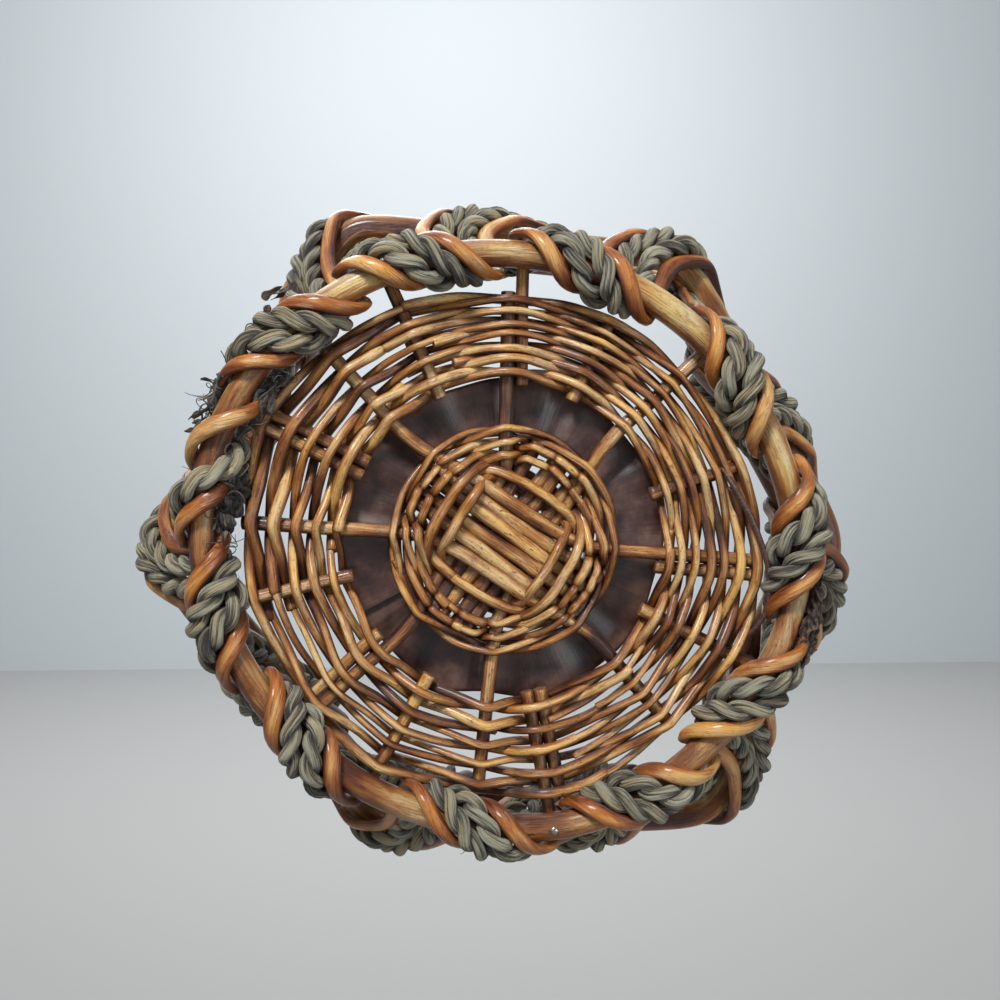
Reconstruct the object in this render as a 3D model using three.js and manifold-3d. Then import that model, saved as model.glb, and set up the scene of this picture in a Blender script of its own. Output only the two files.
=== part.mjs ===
// Grapevine basket: three bent willow pole hoops, laced together all the way round by a ribbon of two
// seagrass ropes between two willow rods, over a round woven willow base.
// Millimetres, +Z up. The basket stands on its foot ropes, with the origin on the floor below its middle.
import * as THREE from 'three';
import { mergeVertices } from 'three/addons/utils/BufferGeometryUtils.js';
import Module from 'manifold-3d';

const wasm = await Module();
wasm.setup();

// Stock sizes.
const poleDiameter = 11.5;
const ropeDiameter = 9;
const lacingRodDiameter = 5.8;
const stickDiameter = 5.8;
const weaverDiameter = 3.5;
const fineWeaverDiameter = 3;
const splintThickness = 1.2;
const nailShankDiameter = 1.6;
const nailHeadDiameter = 3.6;
const nailHeadThickness = 0.8;
const nailLength = 14;

// Clearances.
const touchGap = 0.3;
const strandGap = 0.5;
const nailHoleGap = 0.25;
const buttGap = 2;
const rowGap = 0.5;

// Sides of each section.
const poleSides = 8;
const ropeSides = 6;
const rodSides = 5;
const stickSides = 6;
const weaverSides = 5;
const nailSides = 8;

// Hoops: the foot is round, and the middle hoop and the rim are kinked at six corners.
const footRadius = 124;
const footToMidHeight = 56;
const midToRimHeight = 58;
const cornerDegrees = [64, 124, 182, 233, 292, 355];
const midCornerRadii = [160, 156, 162.5, 171, 150, 159];
const rimGrowth = 2;
const cornerHardness = 24;
const cornerRingDegrees = [-8, -2.7, 2.7, 8];
const footRingCount = 40;
const footJointDegrees = 197;

// Lacing: where each of the eleven ribbons crosses under the foot hoop. The ribbon goes round twice,
// and each turn passes one crossing by. The leading rope is broken at the first crossing.
const crossingDegrees = [14.8, 44, 73.2, 107, 145, 180, 212, 241.2, 276, 315, 346.2];
const turnSkip = 2;
const brokenStations = 3;
const flatShare = 0.1;

// How the ribbon leans: the angle it travels while it rounds each hoop, and on the rim the share of
// the whole turn at which it comes and goes.
const footQuarterSweepDegrees = 5.75;
const midOuterSweepDegrees = [4.4, 6.6];
const midInnerSweepDegrees = 5;
const rimShares = [0.46, 0.58];
const greatestLeanDegrees = 38;

// Rings of a turn: where they stand round each hoop, from its outer side up, and how far the strand
// swings out there so that its straight stretches clear the hoop.
const footTurnDegrees = [22, 66, 112];
const footStretch = 1.08;
const midTurnDegrees = [-30, 10];
const midStretch = 1.1;
const midInnerStretch = 1.18;
const rimTurnDegrees = [-15, 37.5, 90, 142.5, 195];
const rimStretch = 1.12;
const risingShares = [0.3, 0.7];
const fallingShares = [0.45, 0.72];
const risingOut = [0.8, -0.6];
const fallingOut = [1, 0];

// Base: sticks laid six by six and opened into eight spokes, with eight more stakes between them.
const shortStickCount = 4;
const shortStickHalfLength = 31;
const slathDegrees = 26;
const longSticks = [
  { layer: -1, from: 47, to: 185 },
  { layer: -1, from: 4, to: 228 },
  { layer: 1, from: 137, to: 276 },
  { layer: 1, from: 91, to: 318 },
];
const stakeDegrees = [27, 66, 116, 163, 207, 259, 299, 347];
const pairedStakes = [27, 259];
const pairedSpokes = [91, 185, 318];
const layerFlatRadius = 30;
const layersMeetRadius = 44;
const stakePastBand = 4.5;
const tipPastHoop = 3;
const tipPastBand = 0.6;
const bindingCorner = 0.8;
const rosetteRowCount = 4;
const bandRowCount = 10;
const splintUnderRosette = 2.5;
const splintUnderBand = 2.5;
const splintSegments = 40;
const splintSeamDegrees = 332;
const nailedDegrees = [259];

// How far round from row to row the weavers' ends meet, in sticks.
const rosetteSeamStep = 3;
const bandSeamStep = 5;

// Sizes that follow from those above.
const poleRadius = poleDiameter / 2;
const ropeRadius = ropeDiameter / 2;
const rodRadius = lacingRodDiameter / 2;
const stickRadius = stickDiameter / 2;
const weaverRadius = weaverDiameter / 2;
const fineWeaverRadius = fineWeaverDiameter / 2;
const poleHalf = poleRadius * Math.cos(Math.PI / poleSides);
const ropeHalf = ropeRadius * Math.cos(Math.PI / ropeSides);
const stickHalf = stickRadius * Math.cos(Math.PI / stickSides);
const ropeFlatDepth = flatShare * ropeDiameter;
const footHeight = poleRadius + touchGap + 2 * ropeHalf - ropeFlatDepth;
const midHeight = footHeight + footToMidHeight;
const rimHeight = midHeight + midToRimHeight;
const stickLevel = footHeight + poleHalf + touchGap + stickHalf;
const layerStep = stickHalf + touchGap / 2;
const stickPitch = stickDiameter + touchGap;
const ropeReach = poleRadius + ropeHalf + touchGap;
const rodReach = poleRadius + rodRadius + touchGap;
const ropeSideways = ropeRadius + strandGap / 2;
const rodSideways = ropeSideways + ropeRadius + strandGap + rodRadius;
const ribbonHalfWidth = rodSideways + rodRadius;

const radians = THREE.MathUtils.degToRad;
const toDegrees = THREE.MathUtils.radToDeg;
const up = new THREE.Vector3(0, 0, 1);

const willow = (color, roughness) => new THREE.MeshStandardMaterial({ color, roughness, metalness: 0 });
const materials = {
  pole: willow(0xa8632c, 0.45),
  lacingRod: willow(0xa65a26, 0.45),
  rope: willow(0x8c7d63, 0.85),
  stick: willow(0x8a5233, 0.5),
  weaver: willow(0xa87038, 0.45),
  fineWeaver: willow(0xb07a3a, 0.45),
  splint: willow(0x4a2c22, 0.55),
  nail: new THREE.MeshStandardMaterial({ color: 0xb8b4ac, roughness: 0.35, metalness: 1 }),
};

const basket = new THREE.Group();

function add(name, geometry, material) {
  const mesh = new THREE.Mesh(geometry, material);
  mesh.name = name;
  basket.add(mesh);
}

function polar(radius, angle, z) {
  const a = radians(angle);
  return new THREE.Vector3(radius * Math.cos(a), radius * Math.sin(a), z);
}

// A route holds the rings of a rod: where each section stands, and which way its first side faces.
class Route extends THREE.Curve {
  constructor(points, facings) {
    super();
    this.points = points;
    this.facings = facings;
  }

  getPoint(t) {
    return this.points[Math.round(t * (this.points.length - 1))];
  }

  getSpacedPoints() {
    return this.points;
  }

  computeFrenetFrames() {
    const last = this.points.length - 1;
    const tangents = this.points.map((p, i) => {
      const incoming = p.clone().sub(this.points[Math.max(0, i - 1)]).normalize();
      const outgoing = this.points[Math.min(last, i + 1)].clone().sub(p).normalize();
      return incoming.add(outgoing).normalize();
    });
    const normals = tangents.map((t, i) => {
      const facing = this.facings[i];
      return facing.clone().addScaledVector(t, -facing.dot(t)).normalize();
    });
    const binormals = tangents.map((t, i) => new THREE.Vector3().crossVectors(t, normals[i]));
    return { tangents, normals, binormals };
  }
}

// A rod of a regular section, with a corner, or else the middle of a side, on the way it faces.
function rod(route, radius, sides, cornerFirst) {
  const turn = cornerFirst ? 0 : Math.PI / sides;
  const corners = Array.from({ length: sides }, (_, i) => {
    const a = turn + (2 * Math.PI * i) / sides;
    return new THREE.Vector2(radius * Math.cos(a), radius * Math.sin(a));
  });
  const section = new THREE.Shape(corners);
  return new THREE.ExtrudeGeometry(section, { steps: route.points.length - 1, extrudePath: route });
}

function solidOf(geometry) {
  const bare = geometry.clone();
  bare.deleteAttribute('normal');
  bare.deleteAttribute('uv');
  const merged = mergeVertices(bare, 1e-3);
  const mesh = new wasm.Mesh({
    numProp: 3,
    vertProperties: merged.attributes.position.array,
    triVerts: new Uint32Array(merged.index.array),
  });
  return new wasm.Manifold(mesh);
}

function geometryOf(solid) {
  const mesh = solid.getMesh();
  const geometry = new THREE.BufferGeometry();
  geometry.setAttribute('position', new THREE.BufferAttribute(mesh.vertProperties, 3));
  geometry.setIndex(new THREE.BufferAttribute(mesh.triVerts, 1));
  geometry.computeVertexNormals();
  return geometry;
}

function cut(geometry, tools) {
  return geometryOf(tools.reduce((left, tool) => left.subtract(solidOf(tool)), solidOf(geometry)));
}

// A nail's shank, or the hole for it. A nail has a head just below its foot, and stands point up.
function nailAt(foot, growth, headed) {
  const shank = nailShankDiameter / 2 + growth;
  const head = nailHeadDiameter / 2;
  const profile = [new THREE.Vector2(shank, nailLength + growth), new THREE.Vector2(0, nailLength + growth)];
  const headProfile = [
    new THREE.Vector2(0, -touchGap - nailHeadThickness),
    new THREE.Vector2(head, -touchGap - nailHeadThickness),
    new THREE.Vector2(head, -touchGap),
    new THREE.Vector2(shank, -touchGap),
  ];
  profile.unshift(...(headed ? headProfile : [new THREE.Vector2(0, -growth), new THREE.Vector2(shank, -growth)]));
  return new THREE.LatheGeometry(profile, nailSides).rotateX(Math.PI / 2).translate(foot.x, foot.y, foot.z);
}

// A hexagon with softened corners: the distance from the middle to its outline at an angle.
class KinkedOutline {
  constructor(cornerRadii) {
    const corners = cornerDegrees.map((a, i) => polar(cornerRadii[i], a, 0));
    this.sides = corners.map((corner, i) => {
      const next = corners[(i + 1) % corners.length];
      const normal = new THREE.Vector3(next.y - corner.y, corner.x - next.x, 0).normalize();
      return { angle: Math.atan2(normal.y, normal.x), distance: corner.dot(normal) };
    });
  }

  radius(angle) {
    const sum = this.sides.reduce((total, side) => {
      const share = Math.max(0, Math.cos(radians(angle) - side.angle) / side.distance);
      return total + share ** cornerHardness;
    }, 0);
    return sum ** (-1 / cornerHardness);
  }

  // How much wider the hoop is across a line from the middle, where it slants to that line.
  slantWidening(angle) {
    const step = 0.5;
    const change = this.radius(angle + step) - this.radius(angle - step);
    return Math.hypot(1, change / (this.radius(angle) * radians(2 * step)));
  }
}

const footOutline = { radius: () => footRadius, slantWidening: () => 1 };
const rimCornerRadii = midCornerRadii.map((radius) => radius + rimGrowth);
const midOutline = new KinkedOutline(midCornerRadii);
const rimOutline = new KinkedOutline(rimCornerRadii);

// Each hoop is one pole, bent round until its two ends meet.
function hoop(outline, height, angles) {
  const first = angles[0];
  const radius = outline.radius(first);
  const points = angles.map((a) => polar(outline.radius(a), a, height));
  points.push(polar(radius, first + 360 - toDegrees(touchGap / radius), height));
  const facings = points.map((p) => new THREE.Vector3(p.x, p.y, 0).normalize());
  return rod(new Route(points, facings), poleRadius, poleSides, false);
}

// Rings close round each corner and one in the middle of each side, from the side before a corner on.
function kinkedAngles(firstCorner) {
  const count = cornerDegrees.length;
  const cornerAt = (i) => cornerDegrees[i % count] + 360 * Math.floor(i / count);
  const angles = [];
  for (let i = firstCorner; i < firstCorner + count; i++) {
    for (const spread of cornerRingDegrees) angles.push(cornerAt(i) + spread);
    angles.push((cornerAt(i) + cornerAt(i + 1)) / 2);
  }
  angles.unshift(angles.pop() - 360);
  return angles;
}

const footAngles = Array.from({ length: footRingCount }, (_, i) => footJointDegrees + (360 * i) / footRingCount);

// Lacing.
function crossingAt(index) {
  const count = crossingDegrees.length;
  return crossingDegrees[index % count] + 360 * Math.floor(index / count);
}

const spacingAfter = (index) => crossingAt(index + 1) - crossingAt(index);

// A station is a ring of a strand: the angle of the ribbon's middle there, the ring's distance from the
// basket's axis and its height at an angle, and the way out of the wall.
function roundHoop(outline, height, reach, angle, turn) {
  const out = [Math.cos(radians(turn)), Math.sin(radians(turn))];
  const place = (at) => [outline.radius(at) + reach * outline.slantWidening(at) * out[0], height + reach * out[1]];
  return { angle, place, out };
}

function between(from, to, share, angle, out) {
  const place = (at) => {
    const a = from.place(at);
    const b = to.place(at);
    return [a[0] + (b[0] - a[0]) * share, a[1] + (b[1] - a[1]) * share];
  };
  return { angle, place, out };
}

// One turn: from under the foot hoop up past its inner side, up the outside of the middle hoop, over the
// rim, down the inside of the middle hoop and back to the outer side of the foot hoop.
const footSweep = (turn) => (footQuarterSweepDegrees * turn) / 90;

function turnStations(index, reach) {
  const start = crossingAt(index);
  const end = crossingAt(index + turnSkip);
  const riseAt = start + spacingAfter(index) / 4;
  const fallAt = end - spacingAfter(index + turnSkip - 1) / 4;
  const atFoot = (angle, turn) => roundHoop(footOutline, footHeight, reach * footStretch, angle, turn);
  const leaving = footTurnDegrees.map((turn) => atFoot(start + footSweep(turn), -90 - turn));
  const arriving = footTurnDegrees.map((turn) => atFoot(end - footSweep(turn), -90 + turn));
  const midOuter = midTurnDegrees.map((turn, i) =>
    roundHoop(midOutline, midHeight, reach * midStretch, riseAt + midOuterSweepDegrees[i], turn),
  );
  const midInner = roundHoop(midOutline, midHeight, reach * midInnerStretch, fallAt - midInnerSweepDegrees, 180);
  const rim = rimTurnDegrees.map((turn, i) => {
    const share = THREE.MathUtils.lerp(rimShares[0], rimShares[1], i / (rimTurnDegrees.length - 1));
    return roundHoop(rimOutline, rimHeight, reach * rimStretch, start + (end - start) * share, turn);
  });
  const rising = risingShares.map((s) => between(leaving[2], midOuter[0], s, riseAt, risingOut));
  const falling = fallingShares.map((s) => between(midInner, arriving[2], s, fallAt, fallingOut));
  return [...leaving, ...rising, ...midOuter, ...rim, midInner, ...falling, ...arriving.reverse()];
}

const pointAt = (station, angle) => polar(station.place(angle)[0], angle, station.place(angle)[1]);

// The ribbon leans, and turns with the hoops' corners, so its strands are set further apart along a hoop
// than they lie across their own length. This is the angle at each station that sets a strand one
// millimetre aside, for the stretch there that needs more.
function anglePerMillimetre(stations) {
  const middle = stations.map((station) => pointAt(station, station.angle));
  const sides = stations.map((station, i) => pointAt(station, station.angle + 1).sub(middle[i]));
  const needs = middle.slice(1).map((point, k) => {
    const direction = point.clone().sub(middle[k]).normalize();
    const [one, other] = [sides[k], sides[k + 1]];
    const along = one.clone().normalize().add(other.clone().normalize()).divideScalar(2);
    return 1 / Math.sqrt(along.lengthSq() - direction.dot(along) ** 2);
  });
  return sides.map((side, i) => Math.max(needs[i - 1] ?? 1, needs[i] ?? 1) / side.length());
}

// A strand runs beside the ribbon's middle. Its two ends meet under the foot hoop, unless it is broken.
function strand(reach, sideways, dropped) {
  const turns = crossingDegrees.map((_, turn) => turnStations(turn * turnSkip, reach));
  const all = turns.flat();
  const perMillimetre = anglePerMillimetre(all);
  const points = [];
  const facings = [];
  all.forEach((station, i) => {
    if (i < dropped || i >= all.length - dropped) return;
    const angle = station.angle + sideways * perMillimetre[i];
    points.push(pointAt(station, angle));
    facings.push(polar(station.out[0], angle, station.out[1]));
  });
  if (dropped === 0) {
    const first = points[0];
    const last = points[points.length - 1];
    const share = 0.5 - buttGap / 2 / first.distanceTo(last);
    points.unshift(first.clone().lerp(last, share));
    points.push(last.clone().lerp(first, share));
    facings.unshift(facings[0]);
    facings.push(facings[facings.length - 1]);
  }
  return new Route(points, facings);
}

const ropeRoutes = {
  seagrass_rope_leading: strand(ropeReach, ropeSideways, brokenStations),
  seagrass_rope_trailing: strand(ropeReach, -ropeSideways, 0),
};
const lacingRodRoutes = {
  lacing_rod_leading: strand(rodReach, rodSideways, 0),
  lacing_rod_trailing: strand(rodReach, -rodSideways, 0),
};

// The least gap of a strand to itself, measured on points two millimetres apart along its middle.
const sampleStep = 2;
const nearbyDiameters = 5;

function leastGap(route, diameter) {
  const samples = [];
  let length = 0;
  route.points.slice(1).forEach((end, i) => {
    const start = route.points[i];
    const stretch = start.distanceTo(end);
    const steps = Math.ceil(stretch / sampleStep);
    for (let k = 0; k < steps; k++) {
      samples.push({ at: length + (stretch * k) / steps, point: start.clone().lerp(end, k / steps) });
    }
    length += stretch;
  });
  let least = Infinity;
  for (const one of samples) {
    for (const other of samples) {
      const apart = other.at - one.at;
      const nearby = Math.min(apart, length - apart) < nearbyDiameters * diameter;
      if (!nearby) least = Math.min(least, one.point.distanceTo(other.point) - diameter);
    }
  }
  return least;
}

const floorWidth = 4 * Math.max(...rimCornerRadii);
const floorDepth = 64;
const floorSlab = new THREE.BoxGeometry(floorWidth, floorWidth, floorDepth).translate(0, 0, -floorDepth / 2);
for (const [name, route] of Object.entries(ropeRoutes)) {
  add(name, cut(rod(route, ropeRadius, ropeSides, false), [floorSlab]), materials.rope);
  console.log(`${name}: least gap to itself ${leastGap(route, ropeDiameter).toFixed(1)} mm`);
}
for (const [name, route] of Object.entries(lacingRodRoutes)) {
  add(name, rod(route, rodRadius, rodSides, true), materials.lacingRod);
  console.log(`${name}: least gap to itself ${leastGap(route, lacingRodDiameter).toFixed(1)} mm`);
}

// A stick lies on the foot hoop where no ribbon rises past it, and otherwise stops short of the ribbon.
const ribbonSideRadius = footRadius - ropeReach;
const shortTipRadius = footRadius - ropeReach * footStretch - ropeRadius + touchGap;
const longTipRadius = footRadius + tipPastHoop;

// The rows of the weaving. The rosette starts outside the slath's bindings, and the band ends where the
// short sticks do.
const slathHalfWidth = (shortStickCount / 2 + 0.5) * stickPitch + stickRadius;
const bindingDistance = slathHalfWidth + fineWeaverRadius + touchGap;
const bindingCornerRadius = Math.hypot(bindingDistance, bindingDistance) + bindingCorner;
const rosettePitch = fineWeaverDiameter + rowGap;
const rosetteRadius = (row) => bindingCornerRadius + (row + 2) * rosettePitch;
const bandPitch = weaverDiameter + rowGap;
const bandLastRadius = shortTipRadius - tipPastBand - weaverRadius;
const bandRadius = (row) => bandLastRadius - (bandRowCount - 1 - row) * bandPitch;
const stakeInnerRadius = bandRadius(0) - stakePastBand;

function turnBetween(a, b) {
  return Math.abs(THREE.MathUtils.euclideanModulo(a - b + 180, 360) - 180);
}

function tipRadius(angle, across) {
  const tipAngle = angle + toDegrees(across / footRadius);
  const halfWidth = ribbonHalfWidth / Math.cos(radians(greatestLeanDegrees));
  const blocked = crossingDegrees.some((crossing) => {
    const apart = radians(turnBetween(tipAngle, crossing + footSweep(footTurnDegrees[2])));
    return apart * ribbonSideRadius < halfWidth + stickRadius + touchGap;
  });
  return blocked ? shortTipRadius : longTipRadius;
}

// Base sticks. Each layer of the slath has two long sticks outside four short ones.
const layerLevel = (layer) => stickLevel + layer * layerStep;
const longOffset = (shortStickCount / 2 + 0.5) * stickPitch;

const layerDirection = (layer) => slathDegrees + (layer > 0 ? 90 : 0);

// A point set across from a line through the middle of the base.
function besideRadial(angle, across, radius, z) {
  return polar(radius, angle, z).add(polar(across, angle + 90, 0));
}

const spokes = longSticks.flatMap(({ layer, from, to }) => [
  { layer, angle: from, direction: layerDirection(layer) },
  { layer, angle: to, direction: layerDirection(layer) + 180 },
]);

// A spoke runs beside its layer until it meets the line from the middle to its tip.
function spokeAngle(spoke, radius) {
  const lean = THREE.MathUtils.euclideanModulo(spoke.angle - spoke.direction + 180, 360) - 180;
  const beside = toDegrees(Math.asin(Math.min(1, longOffset / radius)));
  return spoke.direction + Math.sign(lean) * Math.max(Math.abs(lean), beside);
}

function spokeLevel(spoke, radius) {
  const rise = (layersMeetRadius - radius) / (layersMeetRadius - layerFlatRadius);
  return stickLevel + spoke.layer * layerStep * THREE.MathUtils.clamp(rise, 0, 1);
}

const spokePoint = (spoke, radius) => polar(radius, spokeAngle(spoke, radius), spokeLevel(spoke, radius));
const upward = (points) => new Route(points, points.map(() => up));
const stickGeometry = (points) => rod(upward(points), stickRadius, stickSides, false);
const layerNames = { '-1': 'lower', 1: 'upper' };
const nailTools = [];

longSticks.forEach(({ layer, from, to }) => {
  const ends = [from, to].map((angle) => spokes.find((spoke) => spoke.angle === angle));
  const joins = ends.map((spoke) => longOffset / Math.sin(radians(turnBetween(spoke.angle, spoke.direction))));
  const arm = (spoke, join) => {
    const radii = [layerFlatRadius, Math.max(join, layersMeetRadius + touchGap), tipRadius(spoke.angle, 0)];
    return radii.map((radius) => spokePoint(spoke, radius));
  };
  const points = [...arm(ends[0], joins[0]).reverse(), ...arm(ends[1], joins[1])];
  add(`long_stick_${layerNames[layer]}_${from}`, stickGeometry(points), materials.stick);
});

for (const layer of [-1, 1]) {
  for (let i = 0; i < shortStickCount; i++) {
    const across = (i - (shortStickCount - 1) / 2) * stickPitch;
    const ends = [-shortStickHalfLength, shortStickHalfLength].map((along) =>
      besideRadial(layerDirection(layer), across, along, layerLevel(layer)),
    );
    add(`short_stick_${layerNames[layer]}_${i + 1}`, stickGeometry(ends), materials.stick);
  }
}

// Stakes beyond the spokes. A second stake beside a stake or a spoke lies parallel to it.
function sticksAt(angle) {
  if (pairedStakes.includes(angle)) return [-stickPitch / 2, stickPitch / 2];
  return pairedSpokes.includes(angle) ? [0, stickPitch] : [0];
}

const stakes = [
  ...stakeDegrees.flatMap((angle) => sticksAt(angle).map((across) => ({ angle, across }))),
  ...pairedSpokes.map((angle) => ({ angle, across: stickPitch })),
];

stakes.forEach(({ angle, across }, i) => {
  const tip = tipRadius(angle, across);
  const ends = [stakeInnerRadius, tip].map((radius) => besideRadial(angle, across, radius, stickLevel));
  let geometry = stickGeometry(ends);
  if (nailedDegrees.includes(angle) && tip === longTipRadius) {
    const foot = besideRadial(angle, across, footRadius, footHeight - poleHalf);
    nailTools.push(nailAt(foot, nailHoleGap, false));
    geometry = cut(geometry, [nailTools[nailTools.length - 1]]);
    add(`nail_${nailTools.length}`, nailAt(foot, 0, true), materials.nail);
  }
  add(`stake_${i + 1}`, geometry, materials.stick);
});

add('foot_hoop', cut(hoop(footOutline, footHeight, footAngles), nailTools), materials.pole);
add('middle_hoop', hoop(midOutline, midHeight, kinkedAngles(0)), materials.pole);
add('rim_hoop', hoop(rimOutline, rimHeight, kinkedAngles(3)), materials.pole);

// Weaving. A row meets each stick in turn, behind one and in front of the next, and its ends meet on one.
const longestStraightDegrees = 20;

function wovenRow(radius, meetings, weaver, seam) {
  const count = meetings.length;
  const turned = Array.from({ length: count + 1 }, (_, i) => {
    const turns = 360 * Math.floor((seam + i) / count);
    const { from, to, z } = meetings[(seam + i) % count];
    return { from: from + turns, to: to + turns, z };
  });
  const butt = toDegrees(buttGap / 2 / radius);
  const seamAngle = (at) => (at.from + at.to) / 2;
  const rings = [polar(radius, seamAngle(turned[0]) + butt, turned[0].z)];
  for (let i = 0; i < count; i++) {
    const [here, next] = [turned[i], turned[i + 1]];
    rings.push(polar(radius, here.to, here.z));
    const straight = next.from - here.to;
    if (straight > longestStraightDegrees) rings.push(polar(radius, here.to + straight / 2, (here.z + next.z) / 2));
    rings.push(polar(radius, next.from, next.z));
  }
  rings.push(polar(radius, seamAngle(turned[count]) - butt, turned[count].z));
  return rod(upward(rings), weaver, weaverSides, true);
}

// Where a row meets sticks that lie across a line from the middle: the angles of its first and last
// ring there, and its height.
function meetingOf(angle, across, level, side, radius, weaver) {
  const margin = stickRadius + touchGap;
  return {
    from: angle + toDegrees((across[0] - margin) / radius),
    to: angle + toDegrees((across[across.length - 1] + margin) / radius),
    z: level + side * (stickRadius + weaver + touchGap),
  };
}

const sideOf = (stick, row) => ((stick + row) % 2 ? 1 : -1);
const orderedSpokes = [...spokes].sort((a, b) => a.angle - b.angle);
for (let row = 0; row < rosetteRowCount; row++) {
  const radius = rosetteRadius(row);
  const meetings = orderedSpokes.map((spoke, i) => {
    const level = spokeLevel(spoke, radius);
    return meetingOf(spokeAngle(spoke, radius), [0], level, sideOf(i, row), radius, fineWeaverRadius);
  });
  const seam = (rosetteSeamStep * row) % meetings.length;
  add(`rosette_row_${row + 1}`, wovenRow(radius, meetings, fineWeaverRadius, seam), materials.fineWeaver);
}

const bandAngles = [...spokes.map((spoke) => spoke.angle), ...stakeDegrees].sort((a, b) => a - b);
for (let row = 0; row < bandRowCount; row++) {
  const radius = bandRadius(row);
  const meetings = bandAngles.map((angle, i) =>
    meetingOf(angle, sticksAt(angle), stickLevel, sideOf(i, row), radius, weaverRadius),
  );
  const seam = (bandSeamStep * row) % meetings.length;
  add(`band_row_${row + 1}`, wovenRow(radius, meetings, weaverRadius, seam), materials.weaver);
}

// Bindings of the slath: each passes in front of one layer's sticks and behind the other's.
function binding(row) {
  const distance = bindingDistance + row * rosettePitch;
  const half = toDegrees(Math.atan2(bindingDistance, distance));
  const reach = Math.hypot(distance, bindingDistance);
  const corner = bindingCornerRadius + row * rosettePitch;
  const heightAt = (quarter) => {
    const layer = quarter % 2 ? 1 : -1;
    const side = row % 2 ? -layer : layer;
    return layerLevel(layer) + side * (stickRadius + fineWeaverRadius + touchGap);
  };
  const rings = [besideRadial(slathDegrees, buttGap / 2, distance, heightAt(0))];
  for (let quarter = 0; quarter < 4; quarter++) {
    const turn = slathDegrees + 90 * quarter;
    rings.push(polar(reach, turn + half, heightAt(quarter)));
    rings.push(polar(corner, turn + 45, stickLevel));
    rings.push(polar(reach, turn + 90 - half, heightAt(quarter + 1)));
  }
  rings.push(besideRadial(slathDegrees, -buttGap / 2, distance, heightAt(0)));
  const facings = rings.map((p) => new THREE.Vector3(p.x, p.y, 0).normalize());
  return rod(new Route(rings, facings), fineWeaverRadius, weaverSides, true);
}

add('slath_binding_inner', binding(0), materials.fineWeaver);
add('slath_binding_outer', binding(1), materials.fineWeaver);

// The splint is a flat band of bark, laid round behind the spokes between the rosette and the outer band.
const splintInnerRadius = rosetteRadius(rosetteRowCount - 1) - splintUnderRosette;
const splintOuterRadius = bandRadius(0) + splintUnderBand;
const splintLevel = stickLevel + stickRadius + touchGap + weaverDiameter + touchGap;
const splintSeam = buttGap / splintOuterRadius;
const splintShape = new THREE.Shape();
splintShape.absarc(0, 0, splintOuterRadius, 0, 2 * Math.PI - splintSeam, false);
splintShape.absarc(0, 0, splintInnerRadius, 2 * Math.PI - splintSeam, 0, true);
const splint = new THREE.ExtrudeGeometry(splintShape, {
  depth: splintThickness,
  bevelEnabled: false,
  curveSegments: splintSegments,
});
splint.rotateZ(radians(splintSeamDegrees)).translate(0, 0, splintLevel);
add('splint_band', splint, materials.splint);

export default basket;
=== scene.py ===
"""Looks of a round basket: bent willow poles laced together by seagrass rope and rods, with a woven base.

Sizes in this file are millimetres unless a property says otherwise. A piece is built in the part's own
frame, with +Z out of the mouth, and turned into metres when its mesh is made.
"""

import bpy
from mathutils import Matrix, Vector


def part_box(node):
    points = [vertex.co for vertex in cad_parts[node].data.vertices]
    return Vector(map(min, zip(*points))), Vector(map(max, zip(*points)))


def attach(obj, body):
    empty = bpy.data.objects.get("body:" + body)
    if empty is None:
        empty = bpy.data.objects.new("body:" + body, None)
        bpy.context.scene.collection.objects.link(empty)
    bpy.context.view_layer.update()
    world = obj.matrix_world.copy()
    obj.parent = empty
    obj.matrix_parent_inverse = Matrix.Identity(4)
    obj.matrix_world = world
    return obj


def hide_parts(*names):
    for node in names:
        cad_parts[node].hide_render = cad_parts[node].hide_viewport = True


bl_info = {
    "name": "Grapevine basket",
    "version": (1, 0, 0),
    "blender": (4, 5, 0),
    "location": "View3D > Sidebar > Basket",
    "description": "Builds the poles, ropes, rods and weaving of a laced willow basket around its solids",
    "category": "Object",
}

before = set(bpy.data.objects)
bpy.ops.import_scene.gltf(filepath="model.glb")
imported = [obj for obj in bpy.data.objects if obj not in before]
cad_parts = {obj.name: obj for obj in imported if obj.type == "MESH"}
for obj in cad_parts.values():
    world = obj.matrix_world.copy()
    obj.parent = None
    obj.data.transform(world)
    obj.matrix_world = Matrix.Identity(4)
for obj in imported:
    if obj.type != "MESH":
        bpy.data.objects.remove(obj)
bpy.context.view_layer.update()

import math

import bpy
import numpy as np
from bpy.props import FloatProperty, FloatVectorProperty, IntProperty, PointerProperty
from mathutils import Matrix, Vector

METRES = 0.001

# The hoops, as in the part's source.
POLE_RADIUS = 5.75
FOOT_RADIUS = 124.0
FOOT_HEIGHT = 12.94
MID_HEIGHT = 68.94
RIM_HEIGHT = 126.94
CORNER_DEGREES = (64, 124, 182, 233, 292, 355)
MID_CORNER_RADII = (160, 156, 162.5, 171, 150, 159)
RIM_GROWTH = 2.0
CORNER_HARDNESS = 24
FOOT_JOINT = 197.0
# Where the other two poles' ends lie side by side, and how far round a pole's ends run beside each other.
MID_JOINT = 30.0
RIM_JOINT = 206.0
LAP_DEGREES = 14.0
# How far aside each of the ends lies and how thin it gets, as shares of the pole's radius.
LAP_ASIDE = 0.42
LAP_THIN = 0.56

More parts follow.
